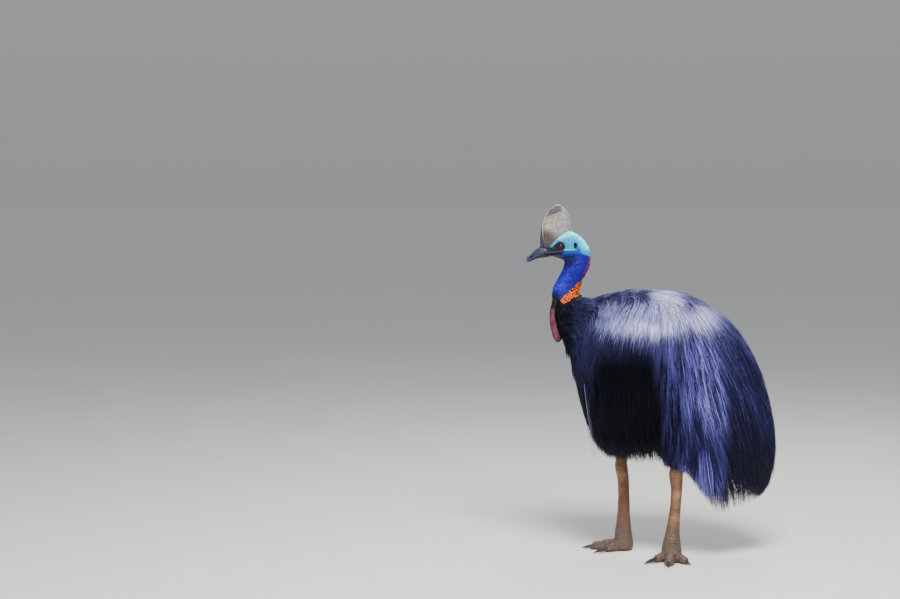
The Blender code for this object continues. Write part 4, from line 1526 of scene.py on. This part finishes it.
def small_scales(name, shank, broad, side, sizes, look, seed):
    """The small six-sided scales over the rest of one leg."""
    rng = np.random.default_rng(seed)
    mesh = bpy.data.objects["skin"].data
    mesh.calc_loop_triangles()
    places = np.array([v.co for v in mesh.vertices]) - np.array(BIRD)
    normals = np.array([v.normal for v in mesh.vertices])
    triangles = np.array([t.vertices for t in mesh.loop_triangles])
    middles = places[triangles].mean(1)
    near = (middles[:, 2] < 0.408) & (middles[:, 2] > 0.01) & (middles[:, 1] * SIDES[side] > 0)
    triangles = triangles[near]
    a, b, c = (places[triangles[:, k]] for k in range(3))
    area = np.linalg.norm(np.cross(b - a, c - a), axis=1)
    picked = triangles[rng.choice(len(triangles), SCALE_TRIES, p=area / area.sum())]
    share = rng.dirichlet((1, 1, 1), len(picked))[..., None]
    roots = (places[picked] * share).sum(1)
    facing = unit((normals[picked] * share).sum(1))
    taken = finder_of(broad.reshape(-1, 3))
    free = np.array([taken.find(place)[2] > 0.004 for place in roots]) & (facing[:, 2] > -0.75)
    roots, facing = roots[free], facing[free]
    chosen = spread_out(roots, sizes.scale, seed)
    roots, facing = roots[chosen], facing[chosen]
    bm = bmesh.new()
    bmesh.ops.create_cone(bm, cap_ends=True, segments=6, radius1=1.0, radius2=0.86, depth=2.0)
    corners, faces = template(bm)
    out = roots - shank[-1]
    away = unit(np.column_stack([out[:, 0], out[:, 1], np.full(len(out), -0.1)]))
    down = np.where(roots[:, 2:] > 0.075, np.array([0.0, 0.0, -1.0]), away)
    along = unit(down - facing * (down * facing).sum(1)[:, None])
    across = np.cross(facing, along)
    radius = sizes.scale * 0.8 * rng.uniform(0.85, 1.1, len(roots))[:, None, None]
    lift = np.where(corners[:, 2] > 0, 0.6 * sizes.thickness, -0.0006)[None, :, None]
    places = roots[:, None] + facing[:, None] * lift
    turned = across[:, None] * corners[None, :, :1] + 1.08 * along[:, None] * corners[None, :, 1:2]
    places = places + radius * turned
    colours = paint_scales(places, corners[:, 2] < 0, look, rng)
    return joined(name, places, colours, faces, scale_map(corners, faces), leg_unwrap(roots, shank))


# ---------------------------------------------------------------- settings
def colour_setting(name, text, colour):
    """A colour that a user can change, from its hex default."""
    default = linear(colour)[:3]
    return FloatVectorProperty(name=name, description=text, subtype="COLOR", min=0, max=1, default=default)


def size_setting(name, text, default, unit="LENGTH"):
    """A number that a user can change."""
    return FloatProperty(name=name, description=text, default=default, unit=unit)


class SkinSettings(bpy.types.PropertyGroup):
    under_coat: colour_setting("Under the coat", "Skin that the feathers cover", "#06070B")
    # Pale cyan of the crown, partly a painted highlight on the top of the head.
    crown: colour_setting("Crown", "Palest blue of the crown and brow", "#30FAFF")
    ear: colour_setting("Ear", "Turquoise of the side and back of the head", "#007CA6")
    cheek: colour_setting("Cheek", "Blue under the gape ridge", "#0A2488")
    lore: colour_setting("Eye surround", "Dark skin before and round the eye and ear", "#0B0D20")
    # Navy of the throat, partly painted shadow under the bill.
    throat: colour_setting("Throat", "Navy under the bill", "#060040")
    neck: colour_setting("Neck", "Cobalt of the bare neck", "#10006A")
    neck_light: colour_setting("Neck highlight", "Lighter blue mottling", "#1404BC")
    nape: colour_setting("Nape", "Crimson strip down the nape", "#5F1D52")
    orange: colour_setting("Knobs", "Orange knobs of the lower nape", "#C05200")
    # Painted highlight on the tops of the knobs.
    knob_highlights: colour_setting("Knob tops", "Palest orange on the knobs", "#FFA820")
    wattle: colour_setting("Wattles", "Red of the wattles", "#5E3040")
    leg: colour_setting("Legs", "Bare shanks", "#6E4830")
    leg_light: colour_setting("Worn legs", "Paler ochre places on the shanks", "#94704A")
    foot: colour_setting("Feet", "Toes and pads", "#55443A")


class HornSettings(bpy.types.PropertyGroup):
    casque: colour_setting("Casque", "Worn horn of the casque's faces", "#6C6862")
    casque_light: colour_setting("Casque light", "Cream places on the casque's faces", "#80836A")
    casque_dark: colour_setting("Casque crown", "Dark patch at the casque's top", "#20161C")
    casque_front: colour_setting("Casque front", "Slate keel before the rim", "#201E26")
    casque_rim: colour_setting("Casque rim", "Pale rim round the side faces", "#9C9696")
    bill: colour_setting("Bill", "Slate horn of the bill", "#0C1430")
    # Painted lilac highlight along the culmen, and the lilac grey of the gape.
    bill_ridge_highlight_and_gape: colour_setting("Bill ridge", "Lilac grey of the culmen and gape", "#2E365A")
    claw: colour_setting("Claws", "Dark horn of the claws", "#2C2622")


class PlumeSettings(bpy.types.PropertyGroup):
    body: colour_setting("Body", "Black of the neck, breast and flank feathers", "#010103")
    # Painted sheen: the grey lavender that the light lays on the upper back.
    back: colour_setting("Back", "Greyed feathers of the upper back", "#3A3A66")
    indigo: colour_setting("Indigo", "Blue black of the shoulder and the upper flank", "#2E2E58")
    # Painted highlight: the silver that the light lays across the back.
    silver_highlight: colour_setting("Silver", "Bleached feathers across the back", "#D2D4FF")
    # Painted sheen: the lavender blue that the light lays on the rump's black locks.
    lock: colour_setting("Locks", "Lavender blue of the rump's locks", "#5C5AAC")
    # Painted highlight on the brightest strands of the rump's locks.
    lock_highlight: colour_setting("Lock tops", "Palest strands of the rump's locks", "#A29EFF")
    width: size_setting("Width", "A feather's full width", 0.0021)
    thickness: size_setting("Thickness", "A feather's height", 0.0008)
    length: size_setting("Length", "Share of the natural length", 1.0, "NONE")
    wave: size_setting("Wave", "Share of the natural waviness", 1.0, "NONE")
    quill: size_setting("Quill", "A wing quill's full width", 0.0028)
    # The quills' horn colour, at full strength a painted highlight on the longest quill.
    quill_horn_and_highlight: colour_setting("Quills", "Bare horn of the wing quills", "#525A84")


class ScaleSettings(bpy.types.PropertyGroup):
    scute: size_setting("Scute", "From one broad scute to the next", 0.009)
    scale: size_setting("Scale", "From one small scale to the next", 0.0046)
    thickness: size_setting("Thickness", "Height of a scute's edge", 0.001)


class StageSettings(bpy.types.PropertyGroup):
    key: size_setting("Key light", "High light from the left side", 560.0, "POWER")
    fill: size_setting("Fill light", "Low light from before the bird", 50.0, "POWER")
    rim: size_setting("Rim light", "Light from behind", 90.0, "POWER")
    sky: size_setting("Surround", "Brightness of the pale surround overhead", 0.6, "NONE")
    floor: colour_setting("Floor", "Pale matte floor", "#DCDCDA")


# ---------------------------------------------------------------- operators
# The surround's brightness at the horizon, as a share of that overhead, and half the floor's width.
HORIZON_SHARE = 0.66
FLOOR_REACH = 400
# Each lamp's name, which is also its power's setting, its width and its place; where they point.
LAMPS = (("key", 1.8, (0.1, -3.1, 4.6)), ("fill", 3.0, (-4.0, -3.6, 2.0)), ("rim", 2.0, (1.2, 2.6, 4.4)))
LAMP_COLOUR = (1.0, 0.985, 0.96)
LIT_PLACE = Vector((0.0, 0.0, 0.85))
# The camera's lens in millimetres, its place before the bird in metres and its tilt down in degrees.
LENS = 66.4885
VIEW_SHIFT, VIEW_DISTANCE, VIEW_HEIGHT, VIEW_DOWN = 0.85032, 7.0, 1.5, 3.35618


class CASSOWARY_OT_stage(bpy.types.Operator):
    """Sets the pale floor, the soft lights and the camera"""

    bl_idname = "cassowary.stage"
    bl_label = "Studio"

    def execute(self, context):
        look = context.scene.cassowary_stage
        bm = bmesh.new()
        bmesh.ops.create_grid(bm, x_segments=8, y_segments=8, size=FLOOR_REACH)
        floor = placed("floor", bm)
        # Matt painted board: even, pale, hardly any gloss.
        board, tree, shader = blank("painted_board", {"Roughness": 0.9, "Specular IOR Level": 0.1})
        lit_by(tree, shader, clouds(tree, 0.4, 3.0, 0.96, 1.03), {}, {6: (*look.floor, 1)})
        floor.data.materials.append(board)

        # The surround dims towards the floor's level, where it meets the floor at the same brightness.
        world = bpy.data.worlds.new("studio")
        world.use_nodes = True
        tree = world.node_tree
        background = tree.nodes["Background"]
        way = node(tree, "SeparateXYZ", None, {0: node(tree, "TexCoord").outputs["Generated"]})
        bounds = {"From Max": 0.6, "To Min": HORIZON_SHARE * look.sky, "To Max": look.sky}
        dim = node(tree, "MapRange", bounds, {0: way.outputs["Z"]})
        tree.links.new(dim.outputs[0], background.inputs["Strength"])
        background.inputs["Color"].default_value = linear("#E6E9EE")
        context.scene.world = world
        for name, size, place in LAMPS:
            lamp = bpy.data.lights.new(name, "AREA")
            lamp.energy = getattr(look, name)
            lamp.size = size
            lamp.color = LAMP_COLOUR
            lit = bpy.data.objects.new(name, lamp)
            lit.location = place
            lit.rotation_euler = (LIT_PLACE - Vector(place)).to_track_quat("-Z", "Y").to_euler()
            context.scene.collection.objects.link(lit)

        camera = bpy.data.cameras.new("camera")
        camera.sensor_width = 36.0
        camera.lens = LENS
        view = bpy.data.objects.new("camera", camera)
        view.location = (BIRD.x - VIEW_SHIFT, BIRD.y - VIEW_DISTANCE, VIEW_HEIGHT)
        view.rotation_euler = (math.radians(90 - VIEW_DOWN), 0.0, 0.0)
        context.scene.collection.objects.link(view)
        context.scene.camera = view
        return {"FINISHED"}


class CASSOWARY_OT_skin(bpy.types.Operator):
    """Makes the one skin of the head, neck, trunk, legs and feet"""

    bl_idname = "cassowary.skin"
    bl_label = "Skin"

    def execute(self, context):
        bm = flesh()
        centres = sculpt(bm)
        colours = paint_skin(bm, centres, context.scene.cassowary_skin)
        # Bare bird skin: finely pebbled, slightly waxy, so light sinks in a little and gleams softly.
        soft = {"IOR": 1.4, "Specular IOR Level": 0.28}
        soft.update({"Subsurface Weight": 0.06, "Subsurface Radius": (0.004, 0.002, 0.002)})
        finish = material("bare_bird_skin", 0.56, 0.0016, 0.0006, soft)
        replaced = ["head", "neck_upper", "neck_lower"] + TRUNK + WINGS + THIGHS + WATTLES + FEET + TOES
        piece("skin", bm, finish, colours, replaced)
        return {"FINISHED"}


class CASSOWARY_OT_horn(bpy.types.Operator):
    """Makes the casque, the bill and the claws"""

    bl_idname = "cassowary.horn"
    bl_label = "Horn"

    def execute(self, context):
        look = context.scene.cassowary_horn
        # Casque keratin: dry worn horn over a spongy core, dull with fine growth lines.
        dull = material("worn_casque_keratin", 0.52, 0.0022, 0.0005, {"IOR": 1.54}, stretch=(1, 1, 3))
        bm = shell(forms(["casque"]), 0.0016, 5)
        sculpt_casque(bm)
        piece("casque_horn", bm, dull, paint_casque(places_of(bm)[0], look), ["casque"])
        # Bill keratin: denser and smoother, with a low polish.
        low_polish = {"IOR": 1.54, "Specular IOR Level": 0.35}
        polished = material("bill_keratin", 0.46, 0.0016, 0.0003, low_polish, stretch=(3, 1, 1))
        for part in ("bill_upper", "bill_lower"):
            bm = shell(forms([part]), 0.0011, 3)
            sculpt_bill(bm)
            piece(part + "_horn", bm, polished, paint_bill(places_of(bm)[0], look), [part])
        # Claw keratin: scuffed on the ground, dark with paler scratches.
        scuffed = material("claw_keratin", 0.42, 0.0012, 0.0004, {"IOR": 1.54})
        for claw in CLAWS:
            bm = shell(forms([claw]), 0.0014, 3)
            places, normals = places_of(bm)
            places += normals * (0.0004 * ripple(places, 0.0035, 51, (4, 4, 1)))[:, None]
            put(bm, places)
            colours = plain(look.claw, len(places))
            tint(colours, "#5E5448", 0.25 * ease(0.0, 0.9, ripple(places, 0.014, 52)))
            piece(claw + "_horn", bm, scuffed, colours, [claw])
        return {"FINISHED"}


# The eye's colours from the middle of the pupil, 0, to the back of the ball, 1.
IRIS_STOPS = [
    (0.0, "#000000"), (0.23, "#000000"), (0.262, "#1A0402"), (0.36, "#54100A"),
    (0.58, "#400A0A"), (0.66, "#160406"), (0.73, "#040204"), (1.0, "#020202"),
]
# The radius of the cornea and how far it bulges from the ball.
CORNEA_RADIUS, CORNEA_BULGE = 0.0078, 0.0014


class CASSOWARY_OT_eyes(bpy.types.Operator):
    """Makes the eyes"""

    bl_idname = "cassowary.eyes"
    bl_label = "Eyes"

    def execute(self, context):
        # A wet eye: red-brown iris round a black pupil under a clear glossy cornea.
        gloss = {"Roughness": 0.3, "IOR": 1.38, "Specular IOR Level": 0.2}
        gloss.update({"Coat Weight": 0.4, "Coat IOR": 1.38, "Coat Roughness": 0.03})
        wet, tree, shader = blank("wet_eye", gloss)
        gaze = node(tree, "Attribute", {"attribute_name": "gaze"})
        rings = node(tree, "ValToRGB", {"stops": IRIS_STOPS}, {0: gaze.outputs["Fac"]})
        lit_by(tree, shader, clouds(tree, 0.0012, 4.0, 0.6, 1.5), {6: rings.outputs[0]})
        for side, sign in SIDES.items():
            bm = bmesh.new()
            bmesh.ops.create_uvsphere(bm, u_segments=64, v_segments=48, radius=EYE_RADIUS)
            aim = Vector((-0.16, sign, 0.02)).normalized()
            bmesh.ops.rotate(bm, verts=bm.verts, matrix=aim.to_track_quat("Z", "Y").to_matrix())
            off_axis = {v: v.co.cross(aim).length if v.co.dot(aim) > 0 else EYE_RADIUS for v in bm.verts}
            gaze_values = [off_axis[v] / EYE_RADIUS for v in bm.verts]
            for vertex, away in off_axis.items():
                vertex.co += aim * CORNEA_BULGE * max(0.0, 1 - (away / CORNEA_RADIUS) ** 2)
            bmesh.ops.translate(bm, verts=bm.verts, vec=(EYE_X, EYE_OUT * sign, EYE_Z))
            made = piece("eyeball_" + side, bm, wet, None, ["eye_" + side])
            made.data.attributes.new("gaze", "FLOAT", "POINT").data.foreach_set("value", gaze_values)
        return {"FINISHED"}


def feather_finish():
    """Loose hair-like feathers without hooks: dark glossy threads with a blue sheen."""
    sheen = {"IOR": 1.55, "Specular IOR Level": 0.22, "Specular Tint": linear("#D0D4FF")}
    sheen.update({"Sheen Weight": 0.01, "Sheen Tint": linear("#9AA0E8"), "Sheen Roughness": 0.4})
    return material("loose_black_feather", 0.42, 0.0016, 0.0002, sheen, stretch=(1, 1, 6))


# The trunk's parts: slot, span from the breast to the rump, grid of roots and rings to a feather.
COAT_PARTS = (
    ("breast", "body_plumage", (0.02, 0.36), (84, 84), 6),
    ("back", "body_plumage", (0.36, 0.62), (68, 90), 6),
    ("rump", "rump_plumage", (0.62, 0.98), (76, 74), 8),
)
SECTORS = {"left": (0.0, 0.5), "right": (0.5, 1.0)}


class CASSOWARY_OT_plumes(bpy.types.Operator):
    """Makes the long feathers of the trunk"""

    bl_idname = "cassowary.plumes"
    bl_label = "Body feathers"

    def execute(self, context):
        look = context.scene.cassowary_plumes
        finish, skin, cover = feather_finish(), skin_tree(), coat_cover()
        seed = 60
        for part, slot, span, grid, rings in COAT_PARTS:
            for side, sector in SECTORS.items():
                seed += 1
                name = f"feathers_{part}_{side}"
                mesh = plumes(name, skin, cover, look, span, sector, grid, rings, seed)
                piece(name, mesh, finish)
        return {"FINISHED"}


class CASSOWARY_OT_short_feathers(bpy.types.Operator):
    """Makes the short feathers of the neck and thighs, and the bristles of the face"""

    bl_idname = "cassowary.short_feathers"
    bl_label = "Neck and leg feathers"

    def execute(self, context):
        look = context.scene.cassowary_plumes
        finish, skin, cover = bpy.data.materials["loose_black_feather"], skin_tree(), coat_cover()
        for side, sign in SIDES.items():
            name = "feathers_neck_" + side
            piece(name, neck_feathers(name, skin, cover, look, sign, 71 + int(sign)), finish)
            name = "feathers_thigh_" + side
            piece(name, thigh_feathers(name, skin, cover, look, side, 75 + int(sign)), finish)
        piece("bristles", bristles("bristles", skin, look, 79), finish)
        return {"FINISHED"}


class CASSOWARY_OT_quills(bpy.types.Operator):
    """Makes the bare quills of the wings"""

    bl_idname = "cassowary.quills"
    bl_label = "Wing quills"

    def execute(self, context):
        look = context.scene.cassowary_plumes
        # Quill keratin: smooth, hard and polished by rubbing, so it carries a bright streak of light.
        finish = material("quill_keratin", 0.34, 0.002, 0.0001, {"IOR": 1.54}, stretch=(1, 1, 8))
        cover = coat_cover()
        for side, sign in SIDES.items():
            piece("wing_quills_" + side, wing_quills(cover, sign, look), finish)
        return {"FINISHED"}


class CASSOWARY_OT_scales(bpy.types.Operator):
    """Makes the scutes and scales of the legs and feet"""

    bl_idname = "cassowary.scales"
    bl_label = "Leg scales"

    def execute(self, context):
        sizes, look = context.scene.cassowary_scales, context.scene.cassowary_skin
        # Scute keratin: dry, tough and dusty, rounded at its edges, with a dull shine where it is worn.
        finish = material("leg_scute_keratin", 0.5, 0.0014, 0.0004, {"IOR": 1.54})
        skin = skin_tree()
        for seed, side in enumerate(SIDES):
            shank = limb_line("shank_" + side)
            name = "scutes_" + side
            mesh, broad = broad_scutes(name, skin, shank, side, sizes, look, 81 + seed)
            piece(name, mesh, finish)
            name = "scales_" + side
            piece(name, small_scales(name, shank, broad, side, sizes, look, 85 + seed), finish)
        return {"FINISHED"}


def skin_tree():
    """The finished skin as a tree, in the bird's own frame."""
    bm = bmesh.new()
    bm.from_mesh(bpy.data.objects["skin"].data)
    bmesh.ops.translate(bm, verts=bm.verts, vec=-BIRD)
    tree = tree_of(bm)
    bm.free()
    return tree


class CASSOWARY_PT_panel(bpy.types.Panel):
    """Lists the cassowary's pieces"""

    bl_label = "Cassowary"
    bl_space_type = "VIEW_3D"
    bl_region_type = "UI"
    bl_category = "Cassowary"

    def draw(self, context):
        for operator in OPERATORS:
            self.layout.operator(operator.bl_idname)


OPERATORS = (
    CASSOWARY_OT_stage,
    CASSOWARY_OT_skin,
    CASSOWARY_OT_horn,
    CASSOWARY_OT_eyes,
    CASSOWARY_OT_plumes,
    CASSOWARY_OT_short_feathers,
    CASSOWARY_OT_quills,
    CASSOWARY_OT_scales,
)
SETTINGS = {
    "cassowary_skin": SkinSettings,
    "cassowary_horn": HornSettings,
    "cassowary_plumes": PlumeSettings,
    "cassowary_scales": ScaleSettings,
    "cassowary_stage": StageSettings,
}


def register():
    """Registers the settings, the operators and the panel."""
    for name, group in SETTINGS.items():
        bpy.utils.register_class(group)
        setattr(bpy.types.Scene, name, PointerProperty(type=group))
    for operator in OPERATORS:
        bpy.utils.register_class(operator)
    bpy.utils.register_class(CASSOWARY_PT_panel)


def unregister():
    """Takes them all out again."""
    bpy.utils.unregister_class(CASSOWARY_PT_panel)
    for operator in reversed(OPERATORS):
        bpy.utils.unregister_class(operator)
    for name, group in SETTINGS.items():
        delattr(bpy.types.Scene, name)
        bpy.utils.unregister_class(group)


def main():
    """Makes every piece."""
    register()
    for operator in OPERATORS:
        group, name = operator.bl_idname.split(".")
        getattr(getattr(bpy.ops, group), name)()
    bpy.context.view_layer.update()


if __name__ == "__main__":
    main()
